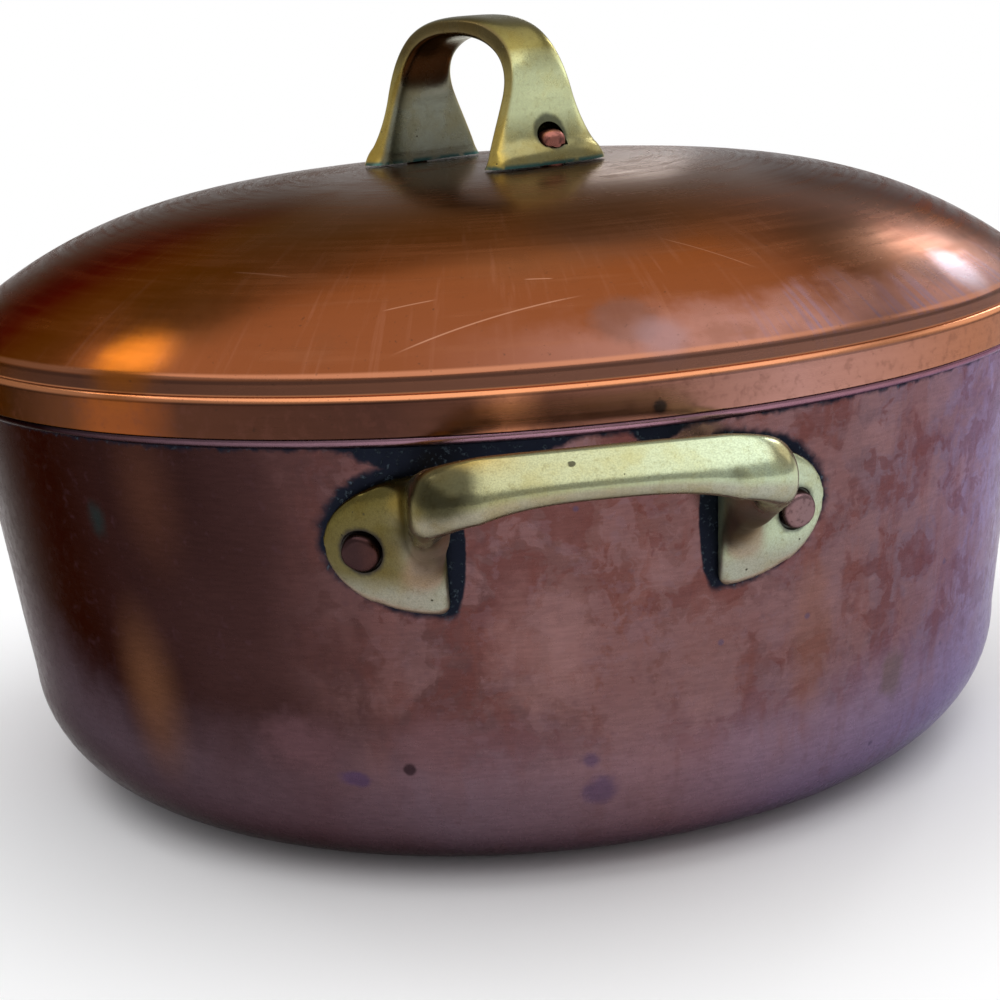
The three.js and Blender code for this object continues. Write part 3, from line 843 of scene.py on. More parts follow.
class Finish:
    """A material under construction. A value is a number, a colour or a socket that varies over the piece."""

    def __init__(self, name):
        self.material = bpy.data.materials.new(name)
        self.material.use_nodes = True
        tree = self.material.node_tree
        self.nodes, self.links = tree.nodes, tree.links
        self.nodes.clear()
        self.shader = self.nodes.new("ShaderNodeBsdfPrincipled")
        output = self.nodes.new("ShaderNodeOutputMaterial")
        self.links.new(self.shader.outputs["BSDF"], output.inputs["Surface"])
        self.shader.inputs["Metallic"].default_value = 1.0
        metres = self.nodes.new("ShaderNodeTexCoord").outputs["Object"]
        self.place = self.vector("SCALE", metres, scale=1 / MM)
        split = self.nodes.new("ShaderNodeSeparateXYZ")
        self.links.new(self.place, split.inputs[0])
        self.x, self.y, self.z = split.outputs
        self.radius = self.maths("SQRT", self.maths("ADD", self.square(self.x), self.square(self.y)))

    def feed(self, socket, value):
        """Links a socket to a socket, or sets it to a number or a colour."""
        if isinstance(value, bpy.types.NodeSocket):
            self.links.new(value, socket)
        elif isinstance(value, (tuple, list)) and len(value) == 3 and socket.type == "RGBA":
            socket.default_value = (*value, 1.0)
        else:
            socket.default_value = value

    def maths(self, operation, *values):
        """One step of arithmetic with numbers."""
        node = self.nodes.new("ShaderNodeMath")
        node.operation = operation
        for socket, value in zip(node.inputs, values):
            self.feed(socket, value)
        return node.outputs[0]

    def square(self, value):
        """The value times itself."""
        return self.maths("MULTIPLY", value, value)

    def vector(self, operation, *values, scale=None):
        """One step of arithmetic with vectors. The result is a number for a distance or a dot product."""
        node = self.nodes.new("ShaderNodeVectorMath")
        node.operation = operation
        for socket, value in zip(node.inputs, values):
            self.feed(socket, value)
        if scale is not None:
            node.inputs["Scale"].default_value = scale
        is_number = operation in ("DISTANCE", "DOT_PRODUCT")
        return node.outputs["Value" if is_number else "Vector"]

    def combined(self, x, y, z):
        """A vector from three numbers."""
        node = self.nodes.new("ShaderNodeCombineXYZ")
        for socket, value in zip(node.inputs, (x, y, z)):
            self.feed(socket, value)
        return node.outputs[0]

    def noise(self, size, detail=3.0, roughness=0.55, vector=None, stretch=None):
        """Noise from about 0.3 to 0.7 whose blotches are about size millimetres wide."""
        source = self.place if vector is None else vector
        if stretch:
            source = self.vector("MULTIPLY", source, stretch)
        node = self.nodes.new("ShaderNodeTexNoise")
        self.links.new(source, node.inputs["Vector"])
        node.inputs["Scale"].default_value = 1 / size
        node.inputs["Detail"].default_value = detail
        node.inputs["Roughness"].default_value = roughness
        return node.outputs[0]

    def noise_colour(self, size):
        """Three noises at once, each from about 0.3 to 0.7, to shift a place by."""
        node = self.nodes.new("ShaderNodeTexNoise")
        self.links.new(self.place, node.inputs["Vector"])
        node.inputs["Scale"].default_value = 1 / size
        return node.outputs["Color"]

    def facing(self, direction):
        """Cosine of the angle between the surface's outward direction and a given one."""
        outward = self.nodes.new("ShaderNodeNewGeometry").outputs["Normal"]
        return self.vector("DOT_PRODUCT", outward, direction)

    def cells(self, size):
        """Distance to the nearest of many scattered points about size millimetres apart, and its colour."""
        node = self.nodes.new("ShaderNodeTexVoronoi")
        self.links.new(self.place, node.inputs["Vector"])
        node.inputs["Scale"].default_value = 1 / size
        return node.outputs["Distance"], node.outputs["Color"]

    def fade(self, value, start, end, low=0.0, high=1.0):
        """Smooth step: low where value is at start, high where it is at end."""
        node = self.nodes.new("ShaderNodeMapRange")
        node.interpolation_type = "SMOOTHSTEP"
        self.feed(node.inputs["Value"], value)
        for name, number in (("From Min", start), ("From Max", end), ("To Min", low), ("To Max", high)):
            node.inputs[name].default_value = number
        return node.outputs[0]

    def graded(self, value, stops):
        """Colour along a value: stops are pairs of a value and the colour there, in rising order."""
        first, last = stops[0][0], stops[-1][0]
        share = self.nodes.new("ShaderNodeMapRange")
        self.feed(share.inputs["Value"], value)
        share.inputs["From Min"].default_value = first
        share.inputs["From Max"].default_value = last
        ramp = self.nodes.new("ShaderNodeValToRGB")
        self.links.new(share.outputs[0], ramp.inputs[0])
        elements = ramp.color_ramp.elements
        elements[0].color = (*stops[0][1], 1)
        elements[-1].color = (*stops[-1][1], 1)
        for place, colour in stops[1:-1]:
            elements.new((place - first) / (last - first)).color = (*colour, 1)
        return ramp.outputs[0]

    def shifted(self, value, noise, amount):
        """The value plus amount times how far the noise is over one half, its middle."""
        return self.maths("ADD", value, self.maths("MULTIPLY", self.maths("SUBTRACT", noise, 0.5), amount))

    def band(self, value, start, full, still_full, end):
        """Zero up to start, one from full to still_full, zero from end on, smooth in between."""
        return self.times(self.fade(value, start, full), self.fade(value, end, still_full))

    def line(self, value, middle, half_width, core):
        """One where value is closer to middle than core, zero where it is further than half_width."""
        distance = self.maths("ABSOLUTE", self.maths("SUBTRACT", value, middle))
        return self.fade(distance, half_width, core)

    def near(self, centre, radius, edge, ragged=None, amount=0.0, flat=1.0):
        """One inside a ball round centre, zero past its edge, with the distance made ragged by a noise.

        Heights count flat times, so a mark with flat under one is taller than wide.
        """
        squeezed = self.vector("MULTIPLY", self.place, (1.0, 1.0, flat))
        distance = self.vector("DISTANCE", squeezed, (centre[0], centre[1], centre[2] * flat))
        if ragged is not None:
            distance = self.shifted(distance, ragged, amount)
        return self.fade(distance, radius + edge, radius)

    def spotted(self, colour, spots, ragged=None, of_radius=0.0, of_edge=0.0):
        """Lays soft marks over a colour, each with its place, radius, edge, flat, colour and strength.

        The noise ragged moves a mark's outline by a share of its radius and a share of its edge.
        """
        for place, radius, edge, flat, tint, strength in spots:
            amount = radius * of_radius + edge * of_edge
            share = self.near(place, radius, edge, ragged, amount, flat)
            colour = self.mixed(self.times(share, strength), colour, tint)
        return colour

    def times(self, *shares):
        """All shares multiplied: one only where each of them is one."""
        result = shares[0]
        for share in shares[1:]:
            result = self.maths("MULTIPLY", result, share)
        return result

    def either(self, *shares):
        """The largest of the shares."""
        result = shares[0]
        for share in shares[1:]:
            result = self.maths("MAXIMUM", result, share)
        return result

    def mixed(self, share, first, second):
        """Colour first where share is zero, second where it is one."""
        node = self.nodes.new("ShaderNodeMix")
        node.data_type = "RGBA"
        self.feed(node.inputs[0], share)
        self.feed(node.inputs[6], first)
        self.feed(node.inputs[7], second)
        return node.outputs[2]

    def shaded(self, colour, shade):
        """Colour times a number, which darkens under one and brightens over one."""
        return self.vector("MULTIPLY", colour, self.combined(shade, shade, shade))

    def finished(self, colour, roughness, height, depth, edge_tint):
        """Sets the shader. A height of one stands depth millimetres up, edge_tint is for glancing angles."""
        self.feed(self.shader.inputs["Base Color"], colour)
        self.feed(self.shader.inputs["Roughness"], roughness)
        self.feed(self.shader.inputs["Specular Tint"], edge_tint)
        bump = self.nodes.new("ShaderNodeBump")
        bump.inputs["Distance"].default_value = depth * MM
        self.links.new(height, bump.inputs["Height"])
        self.links.new(bump.outputs[0], self.shader.inputs["Normal"])
        print(f"{self.material.name}: {len(self.nodes)} nodes")
        return self.material


# %% [markdown]
# ## Copper of the pot
# Copper that has been heated many times is not orange. Its oxide goes from red through maroon and purple to
# a bluish grey, and it is thickest where no cloth reaches: in the corner under the bead and in a narrow rim
# round the flanges. So the colour is first graded across the pot and towards its base, then broken up by
# noise, and the blue-black tarnish is laid over it last. That grading also paints light: shade at the dark
# left and a pale bluish reflection at the right. An oxide film also mirrors less at a glancing angle than
# clean metal does, which the edge tint says.

# %% Colours of the pot
# Painted light: nearly black at the left is painted shade, lavender at the right a painted reflection.
across_pot_painted_light = (  # place across the pot in millimetres, colour of the wall
    (-105, (0.018, 0.007, 0.006)),
    (-80, (0.027, 0.011, 0.010)),
    (-60, (0.044, 0.019, 0.018)),
    (-40, (0.080, 0.036, 0.034)),
    (-18, (0.112, 0.053, 0.052)),
    (5, (0.150, 0.070, 0.064)),
    (30, (0.148, 0.072, 0.070)),
    (55, (0.145, 0.082, 0.090)),
    (75, (0.165, 0.105, 0.135)),
    (98, (0.240, 0.175, 0.280)),
)
# Painted light as on the wall: darker at the left is painted shade, bluer at the right a painted reflection.
across_base_painted_light = (  # the same for the rounded corner at the bottom
    (-105, (0.085, 0.062, 0.078)),
    (-55, (0.110, 0.060, 0.072)),
    (-28, (0.165, 0.104, 0.130)),
    (20, (0.220, 0.122, 0.140)),
    (77, (0.200, 0.155, 0.255)),
    (98, (0.260, 0.210, 0.340)),
)
# The bead is darkest at the left: painted shade, as on the wall.
across_bead_painted_shade = ((-100, (0.008, 0.005, 0.006)), (-5, (0.360, 0.195, 0.245)), (90, (0.225, 0.096, 0.120)))
tarnish = (0.010, 0.012, 0.020)
crust = (0.070, 0.095, 0.120)
marks = (  # place in millimetres, radius, edge, flattening of the height, colour, strength
    ((-90.6, -80.2, 75.5), 0.0, 3.6, 0.6, (0.014, 0.024, 0.024), 0.8),
    ((-8.3, -118.0, 51.0), 2.0, 13.0, 0.8, (0.240, 0.124, 0.116), 0.65),
    ((-55.4, -101.9, 32.0), 2.0, 9.0, 1.2, (0.118, 0.058, 0.066), 0.8),
    ((-30.0, -113.0, 33.0), 2.0, 8.0, 1.2, (0.150, 0.075, 0.082), 0.6),
    ((24.0, -115.0, 47.0), 1.0, 9.0, 0.6, (0.190, 0.100, 0.098), 0.6),
    ((-34.9, -110.1, 27.5), 0.7, 0.8, 1.0, (0.030, 0.016, 0.020), 0.9),
    ((-45.4, -106.0, 25.3), 2.2, 2.0, 2.0, (0.070, 0.040, 0.085), 0.8),
    ((1.0, -114.8, 20.9), 1.6, 3.0, 1.0, (0.090, 0.056, 0.110), 0.7),
    ((-0.5, -115.5, 27.5), 0.9, 1.6, 1.0, (0.080, 0.048, 0.095), 0.7),
    ((65.3, -95.5, 30.5), 2.0, 3.0, 0.7, (0.120, 0.085, 0.070), 0.6),
    ((46.0, -108.2, 44.5), 2.0, 5.0, 0.3, (0.190, 0.085, 0.062), 0.5),
)
painted_reflections = (  # the same without raggedness: painted reflections, soft orange streaks of light on the wall
    ((-84.3, -81.2, 38.0), 0.0, 12.0, 0.45, (0.160, 0.068, 0.034), 0.65),
    ((-80.4, -91.9, 82.0), 0.0, 12.0, 0.5, (0.080, 0.030, 0.018), 0.5),
)


# %% [markdown]
# The tarnish follows the other pieces. It fills the corner under the bead and keeps a narrow rim round each
# flange, so it is measured from them: down from the lip, and outwards from the flange's half ellipse.

# %% Where the tarnish sits


def around_wall(f):
    """Distance along the wall from the middle of the nearer side handle, in millimetres."""
    angle = f.maths("ARCTAN2", f.maths("ABSOLUTE", f.x), f.maths("ABSOLUTE", f.y))
    return f.maths("MULTIPLY", angle, seat_radius_here)


def rim_of_flanges(f, width, ragged):
    """One on the wall closer than width to a flange: inside its half ellipse, made that much larger.

    On the side of the flange's straight edge it ends in a second, very flat half ellipse.
    """
    inward_width, raised = 3.6, 0.8
    past_edge = f.maths("SUBTRACT", around_wall(f), flange_inner)
    tipward = f.maths("DIVIDE", past_edge, handle_reach - flange_inner + width)
    inward = f.maths("DIVIDE", past_edge, -inward_width)
    along_it = f.maths("MAXIMUM", tipward, inward)
    up = f.maths("DIVIDE", f.maths("SUBTRACT", f.z, handle_level + raised), flange_half_height + width)
    size = f.maths("SQRT", f.maths("ADD", f.square(along_it), f.square(up)))
    return f.fade(f.shifted(size, ragged, 0.16), 1.05, 0.94)


def under_bead(f, ragged):
    """One on the wall just below the bead: a thin line that reaches further down in two places."""
    deep = f.band(f.x, -46, -30, -16, 2)
    spot = f.band(f.x, 8, 13, 16, 21)
    depth = f.maths("ADD", f.maths("MULTIPLY", deep, 6.0), f.maths("MULTIPLY", spot, 2.6))
    depth = f.maths("ADD", depth, f.maths("MULTIPLY", ragged, 3.0))
    below = f.maths("SUBTRACT", f.maths("ADD", f.z, depth), lip_height)
    return f.times(f.fade(below, 0.2, 1.6), f.fade(f.z, lip_height + 0.9, lip_height))


# %% [markdown]
# The stains of the wall lie in layers, each a noise that is cut off softly at some level and laid on with
# its own strength. The noises have several sizes, from 40 down to about 2 millimetres, because a real patina
# has large clouds and small specks. The stains are left out at the dark left side, where the photograph shows
# none.

# %% Stains of the pot


def hidden_side(f):
    """One on the half of the pot that the photograph doesn't show, where the colour is guessed plainer."""
    return f.fade(f.y, -48, -5)


def wall_colour(f, drift, lit):
    """The wall's grading with painted shade at the left and a painted reflection at the right, then paler and
    redder stains where the light falls, then the plain hidden side.

    One of the noises has wavy outlines, because the place that it is looked up at is itself shifted.
    """
    colour = f.graded(drift, across_pot_painted_light)
    patchy = f.noise(15, 4.0, 0.6)
    drawn = f.noise(7, 3.0, 0.6, stretch=(1, 1, 0.2))
    bend = f.vector("SCALE", f.vector("SUBTRACT", f.noise_colour(9), (0.5, 0.5, 0.5)), scale=14.0)
    stain = f.noise(12, 5.0, 0.62, f.vector("ADD", f.place, bend))
    small = f.noise(5, 4.0, 0.65)
    for pattern, start, end, strength, tint in (
        (patchy, 0.50, 0.68, 0.60, (0.250, 0.132, 0.130)),
        (patchy, 0.49, 0.36, 0.55, (0.125, 0.042, 0.036)),
        (drawn, 0.48, 0.64, 0.55, (0.150, 0.054, 0.044)),
        (stain, 0.508, 0.556, 0.52, (0.200, 0.106, 0.107)),
        (stain, 0.472, 0.432, 0.50, (0.112, 0.034, 0.029)),
        (small, 0.54, 0.60, 0.30, (0.170, 0.098, 0.112)),
    ):
        colour = f.mixed(f.times(f.fade(pattern, start, end), lit, strength), colour, tint)
    return f.mixed(f.times(hidden_side(f), 0.85), colour, (0.120, 0.058, 0.054))


def base_colour(f, drift, lit):
    """The rounded corner at the bottom is bluer, a painted reflection of a bluish floor, with painted shade
    at the left.
    """
    colour = f.mixed(f.times(hidden_side(f), 0.85), f.graded(drift, across_base_painted_light), (0.170, 0.100, 0.115))
    drawn = f.noise(7, 3.0, 0.6, stretch=(1, 1, 0.2))
    return f.mixed(f.times(f.fade(drawn, 0.50, 0.66), lit, 0.35), colour, (0.150, 0.076, 0.080))


def base_share(f):
    """One on the rounded corner, zero on the wall, with a ragged border that climbs at the far left."""
    climb = f.maths("MULTIPLY", f.maths("MAXIMUM", f.maths("SUBTRACT", -86.0, f.x), 0.0), 0.7)
    level = f.shifted(f.maths("SUBTRACT", f.z, climb), f.noise(15, 4.0, 0.6), 16.0)
    return f.fade(level, 43, 15)


# %% Pot finish


def pot_finish():
    """Wall, base, bead, marks, painted reflections, dots, wiping, and the tarnish with its pale crumbs on
    top.
    """
    f = Finish("pot_copper")
    fine = f.noise(2.4, 4.0, 0.65)
    drift = f.shifted(f.x, f.noise(40, 2.0), 40.0)
    lit = f.fade(drift, -60, -10)
    colour = f.mixed(base_share(f), wall_colour(f, drift, lit), base_colour(f, drift, lit))
    colour = f.mixed(f.fade(fine, 0.56, 0.72, 0.0, 0.22), colour, (0.070, 0.034, 0.044))
    on_bead = f.band(f.z, lip_height - 0.6, lip_height + 0.3, lip_height + 3.2, pot_height)
    # The bead's grading, darkest at the left, is painted shade.
    colour = f.mixed(on_bead, colour, f.graded(f.x, across_bead_painted_shade))
    colour = f.spotted(colour, marks, f.noise(6, 4.0, 0.65), of_radius=1.2, of_edge=1.2)
    # Painted reflections: two soft orange streaks of light on the left of the wall.
    colour = f.spotted(colour, painted_reflections)
    distance, pick = f.cells(9.0)
    chosen = f.fade(f.vector("DOT_PRODUCT", pick, (1.0, 0.0, 0.0)), 0.70, 0.74)
    dots = f.times(f.fade(distance, 0.10, 0.04), chosen, lit)
    colour = f.mixed(f.times(dots, 0.6), colour, (0.075, 0.055, 0.100))
    wiped = f.noise(1.3, 3.0, 0.7, stretch=(0.3, 0.3, 2.2))
    colour = f.shaded(colour, f.fade(wiped, 0.34, 0.66, 0.93, 1.07))
    ragged = f.noise(3.0, 3.0)
    dark = f.either(under_bead(f, ragged), rim_of_flanges(f, 2.0, ragged))
    colour = f.mixed(dark, colour, tarnish)
    crumbs = f.times(dark, f.fade(f.noise(1.1, 4.0, 0.7), 0.55, 0.68))
    colour = f.mixed(f.times(crumbs, 0.7), colour, crust)
    rough = f.maths("ADD", f.fade(fine, 0.35, 0.65, 0.22, 0.31), f.maths("MULTIPLY", dark, 0.2))
    height = f.maths("ADD", f.maths("MULTIPLY", f.noise(0.9, 3.0), 0.35), f.maths("MULTIPLY", crumbs, 3.0))
    # The edge tint is lower at the left, painted shade, and bluer at the right, a painted reflection.
    edge_tint = f.mixed(f.fade(drift, -50, 90), (0.49, 0.46, 0.45), (0.66, 0.62, 0.76))
    return f.finished(colour, rough, height, 0.03, edge_tint)


# %% [markdown]
# ## Copper of the lid
# The lid is handled and wiped more than the pot, so it keeps more of the metal's orange, with a browner
# crown and a rim that is worn pink. Spinning leaves fine rings round the axis, and wiping leaves faint
# radial strokes and a few long scratches over them. Noise that is stretched along a ring, in polar
# coordinates, gives the first two. A scratch is the thin space between two upright planes.

# %% Colours of the lid
crown_brown = (0.150, 0.062, 0.030)
warm_orange = (0.155, 0.045, 0.016)
worn_pink = (0.290, 0.135, 0.105)
stroke_blue = (0.200, 0.125, 0.160)
# The skirt's gold at -87 to -80 is a painted highlight, and its dark left end is painted shade.
across_skirt_painted_light = (  # place across the lid in millimetres, colour of the skirt
    (-105, (0.050, 0.022, 0.016)),
    (-94, (0.110, 0.039, 0.018)),
    (-87, (0.240, 0.067, 0.019)),
    (-80, (0.225, 0.062, 0.018)),
    (-72, (0.080, 0.030, 0.017)),
    (-35, (0.066, 0.027, 0.019)),
    (-20, (0.110, 0.044, 0.027)),
    (-12.5, (0.460, 0.175, 0.085)),
    (-5, (0.150, 0.060, 0.038)),
    (14, (0.230, 0.100, 0.070)),
    (42, (0.420, 0.210, 0.172)),
    (84, (0.370, 0.148, 0.080)),
)
across_riser = ((-90, (0.120, 0.052, 0.034)), (-30, (0.230, 0.100, 0.062)), (60, (0.320, 0.150, 0.105)))
scratches = (  # plan place of both ends, half width, strength
    ((-33.2, -116.2), (5.0, -109.8), 0.22, 0.42),
    ((-33.1, -105.6), (-22.3, -106.0), 0.20, 0.34),
    ((-6.1, -104.2), (-0.3, -104.8), 0.20, 0.40),
    ((-60.0, -78.0), (-48.0, -88.0), 0.25, 0.20),
    ((22.0, -92.0), (40.0, -101.0), 0.20, 0.22),
    ((-20.0, -60.0), (12.0, -74.0), 0.25, 0.18),
)
polished_highlight_spot = (-80.2, -91.0, 108.5)  # at the left of the front, where the copper is smoother and a gold highlight is painted
# Besides stains, four of these marks are painted light, as noted at each.
lid_marks_and_painted_light = (  # as the pot's marks
    ((14.3, -125.5, 97.1), 0.8, 0.9, 1.0, (0.040, 0.030, 0.034), 0.9),
    ((10.5, -116.1, 111.8), 4.0, 4.0, 1.0, (0.120, 0.062, 0.050), 0.5),
    ((16.5, -119.5, 108.6), 2.0, 5.0, 1.0, (0.230, 0.150, 0.160), 0.45),
    ((77.3, -86.5, 112.2), 2.5, 5.0, 1.0, (0.100, 0.045, 0.032), 0.6),
    ((-45.0, -75.0, 126.0), 8.0, 14.0, 1.0, (0.105, 0.046, 0.024), 0.4),
    ((13.0, -85.0, 127.0), 6.0, 16.0, 1.0, (0.100, 0.050, 0.034), 0.6),
    # painted shade on the left of the dome
    ((-70.0, -84.0, 118.0), 6.0, 16.0, 1.0, (0.105, 0.038, 0.013), 0.55),
    # painted highlight, gold
    (polished_highlight_spot, 3.5, 9.0, 1.0, (0.280, 0.080, 0.012), 0.9),
    # painted highlight, pale, at the far right of the rim
    ((86.4, -81.2, 110.4), 2.0, 7.0, 1.0, (0.470, 0.390, 0.440), 0.8),
    # painted shade on the right of the dome
    ((62.8, -84.1, 118.7), 6.0, 14.0, 1.0, (0.095, 0.034, 0.012), 0.75),
)
foot_reflection_streak = ((13.5, -22.0), (2.0, -82.0), 9.5, 0.45)  # painted reflection of the strap's foot, a pale streak, with its taper
scratch_pale = (0.480, 0.250, 0.160)
reflection_pale = (0.480, 0.250, 0.140)


# %% Marks of the lathe and the cloth


def polar(f, turns, rings):
    """Coordinates for marks that follow the lathe: turns round the axis, and rings per millimetre."""
    angle = f.maths("ARCTAN2", f.y, f.x)
    return f.combined(
        f.maths("MULTIPLY", f.maths("COSINE", angle), turns),
        f.maths("MULTIPLY", f.maths("SINE", angle), turns),
        f.maths("MULTIPLY", f.maths("ADD", f.radius, f.z), rings),
    )


def scratch(f, start, end, half_width, taper=0.2):
    """One between two upright planes round the line from start to end, fading at both ends.

    taper is the share of the length that each end takes to fade. The larger it is, the softer the sides are.
    """
    (x0, y0), (x1, y1) = start, end
    length = math.hypot(x1 - x0, y1 - y0)
    forward = ((x1 - x0) / length, (y1 - y0) / length, 0.0)
    sideways = (-forward[1], forward[0], 0.0)
    from_start = f.vector("SUBTRACT", f.place, (x0, y0, 0.0))
    run = f.vector("DOT_PRODUCT", from_start, forward)
    off = f.maths("ABSOLUTE", f.vector("DOT_PRODUCT", from_start, sideways))
    ends = f.band(run, 0.0, length * taper, length * (1 - taper), length)
    return f.times(f.fade(off, half_width, half_width * (0.5 - taper)), ends)


# %% [markdown]
# The lid is coloured from the crown outwards: first by the distance from the axis, then by what wear did to
# the rim, then the skirt and the riser by their heights. The skirt's grading holds a painted highlight at
# the left and painted shade at its left end. The two thin lines at the dome's foot, a painted highlight and
# a painted dark line of shade, are what the eye reads as the lid's edge, and a painted highlight lies on
# the skirt's rounded shoulder.

# %% Colour of the dome and the rim


def dome_colour(f, patchy, rings, strokes):
    """Brown crown, orange flanks, a rim worn pink on the front right, and the marks of lathe and cloth."""
    drift = f.shifted(f.radius, f.noise(52, 2.0), 60.0)
    colour = f.mixed(f.fade(drift, 64, 104), crown_brown, warm_orange)
    near_rim = f.shifted(f.radius, patchy, 22.0)
    worn = f.times(f.fade(near_rim, 111, 122), f.fade(f.x, -36, 34), f.fade(f.y, -20, -60, 0.4, 1.0))
    colour = f.mixed(f.times(worn, 0.9), colour, worn_pink)
    blued = f.times(worn, f.fade(strokes, 0.50, 0.62), f.fade(f.x, 26, 48), f.fade(f.y, -40, -65))
    colour = f.mixed(f.times(blued, 0.75), colour, stroke_blue)
    colour = f.mixed(f.fade(patchy, 0.54, 0.70, 0.0, 0.30), colour, (0.125, 0.045, 0.020))
    colour = f.mixed(f.fade(strokes, 0.54, 0.74, 0.0, 0.16), colour, (0.300, 0.130, 0.080))
    return f.mixed(f.fade(rings, 0.52, 0.74, 0.0, 0.22), colour, (0.240, 0.088, 0.040))


def rim_colours(f, colour, patchy, fine):
    """Lays the skirt, the riser, a painted shoulder highlight and the dome's two painted lines over a colour.
    """
    # The skirt's grading holds a painted highlight and painted shade at the left.
    skirt = f.graded(f.shifted(f.x, patchy, 7.0), across_skirt_painted_light)
    skirt = f.mixed(f.fade(fine, 0.50, 0.66, 0.0, 0.30), skirt, (0.110, 0.042, 0.030))
    colour = f.mixed(f.fade(f.z, step_height + 0.5, step_height - 0.2), colour, skirt)
    riser = f.band(f.z, step_height, step_height + 0.4, dome_foot - 0.7, dome_foot - 0.3)
    colour = f.mixed(f.times(riser, 0.85), colour, f.graded(f.x, across_riser))
    outside = f.fade(f.radius, 121, 123)
    shoulder = f.band(f.z, skirt_top + 0.3, skirt_top + 0.8, step_height + 0.1, step_height + 0.4)
    # Painted light: a dark line of shade under the dome's edge, a highlight on the skirt's shoulder and a
    # highlight along the dome's edge.
    for share, strength, tint in (
        (f.line(f.z, dome_foot - 0.9, 0.45, 0.15), 0.5, (0.050, 0.022, 0.016)),
        (shoulder, 0.85, (0.600, 0.240, 0.110)),
        (f.line(f.z, dome_foot + 0.1, 0.7, 0.2), 0.6, (0.420, 0.170, 0.090)),
    ):
        colour = f.mixed(f.times(share, outside, strength), colour, tint)
    return colour


# %% [markdown]
# Last come the small things: marks, a few of which are painted highlights and painted shade, scratches, the
# pale streak painted as the reflection of the strap's bright foot on the crown, and dark specks. The rings
# and the strokes also give the surface its height, so that highlights are drawn out across them as on real
# spun metal.

# %% Lid finish


def lid_edge_tint(f):
    """Colour at glancing angles: paler to the right as painted light, and darker in two patches
    towards the far rim as painted shade.
    """
    tint = f.mixed(f.fade(f.x, 10, 80), (0.50, 0.45, 0.41), (0.66, 0.62, 0.60))
    far_left = f.times(f.fade(f.x, -28, -52), f.fade(f.y, -72, -42))
    far_right = f.times(f.fade(f.x, 48, 64), f.fade(f.y, -70, -45))
    tint = f.mixed(far_left, tint, (0.32, 0.27, 0.23))
    return f.mixed(far_right, tint, (0.38, 0.35, 0.34))


def lid_finish():
    """Dome and rim, then marks with painted light, scratches, a painted reflection and specks, with one
    smoother place to the left of the front.
    """
    f = Finish("lid_copper")
    patchy = f.noise(16, 4.0, 0.6)
    fine = f.noise(2.2, 4.0, 0.65)
    rings = f.noise(1.0, 3.0, 0.6, polar(f, 3.0, 1.1))
    strokes = f.noise(1.0, 4.0, 0.6, polar(f, 60.0, 0.10))
    colour = rim_colours(f, dome_colour(f, patchy, rings, strokes), patchy, fine)
    colour = f.spotted(colour, lid_marks_and_painted_light, fine, of_radius=0.8)
    for start, end, half_width, strength in scratches:
        colour = f.mixed(f.times(scratch(f, start, end, half_width), strength), colour, scratch_pale)
    # Painted reflection of the strap's bright foot: a pale streak on the crown.
    colour = f.mixed(f.times(scratch(f, *foot_reflection_streak), 0.35), colour, reflection_pale)
    specks = f.fade(f.noise(0.9, 3.0, 0.6), 0.66, 0.74)
    colour = f.mixed(f.times(specks, 0.5), colour, (0.035, 0.020, 0.014))
    rough = f.maths("ADD", f.fade(rings, 0.3, 0.7, 0.19, 0.27), f.fade(patchy, 0.45, 0.7, 0.0, 0.06))
    rough = f.maths("MULTIPLY", rough, f.fade(f.near(polished_highlight_spot, 10.0, 26.0), 0.0, 1.0, 1.0, 0.85))
    height = f.maths("ADD", f.maths("MULTIPLY", rings, 0.6), f.maths("MULTIPLY", strokes, 0.35))
    return f.finished(colour, rough, height, 0.012, lid_edge_tint(f))


# %% [markdown]
# ## Cast brass, rivets and tin
# The brass was filed and polished on its faces and left as cast underneath and inside, so it is bright above
# and dull below, with pits where sand or gas was caught in the mould. Its own hue is a little green. Its
# colour also holds painted light: shade at the left and at the strap's crown, gold highlights, and the floor
# and the copper as painted reflections on faces that look down. The seats round the rivets are darker, partly
# grime and tarnish and partly painted shade of the recess, and verdigris lies where the strap stands on the
# copper. The rivets are copper. The inside is tinned: grey, soft and slightly brown where food has stood.

# %% Colours of the brass
brass_edge_tint = (0.80, 0.78, 0.66)
# Painted light: the dark gold at the left is painted shade.
across_handle_painted_light = (  # place across a side handle in millimetres, colour of its upper faces
    (-50, (0.108, 0.086, 0.024)),
    (-37, (0.122, 0.097, 0.029)),
    (-30, (0.170, 0.145, 0.062)),
    (-20, (0.330, 0.325, 0.180)),
    (0, (0.385, 0.405, 0.245)),
    (28, (0.480, 0.560, 0.385)),
    (50, (0.480, 0.540, 0.395)),
)
# Faces that look down: duller cast brass, paled by a painted reflection of the floor.
across_lower_faces_and_floor_reflection = ((-45, (0.370, 0.345, 0.270)), (0, (0.300, 0.262, 0.190)), (45, (0.370, 0.375, 0.325)))
pit_colour = (0.060, 0.055, 0.035)
yellowed = (0.95, 0.82, 0.55)
dulled = (0.72, 0.68, 0.60)
# The middle two are stains; the first and the last are painted light.
brass_stains_and_painted_light = (  # as the pot's marks
    # painted shade at the bar's left end
    ((-28.0, -151.5, 92.0), 3.4, 4.6, 1.0, (0.046, 0.042, 0.022), 0.92),
    ((31.0, -150.5, 93.0), 1.0, 4.5, 1.0, (0.300, 0.215, 0.065), 0.7),
    ((21.5, -154.0, 90.6), 0.5, 2.0, 1.0, (0.150, 0.140, 0.070), 0.5),
    # painted highlight by the left leg
    ((-36.0, -126.0, 84.0), 2.0, 4.0, 1.0, (0.300, 0.215, 0.050), 0.7),
)
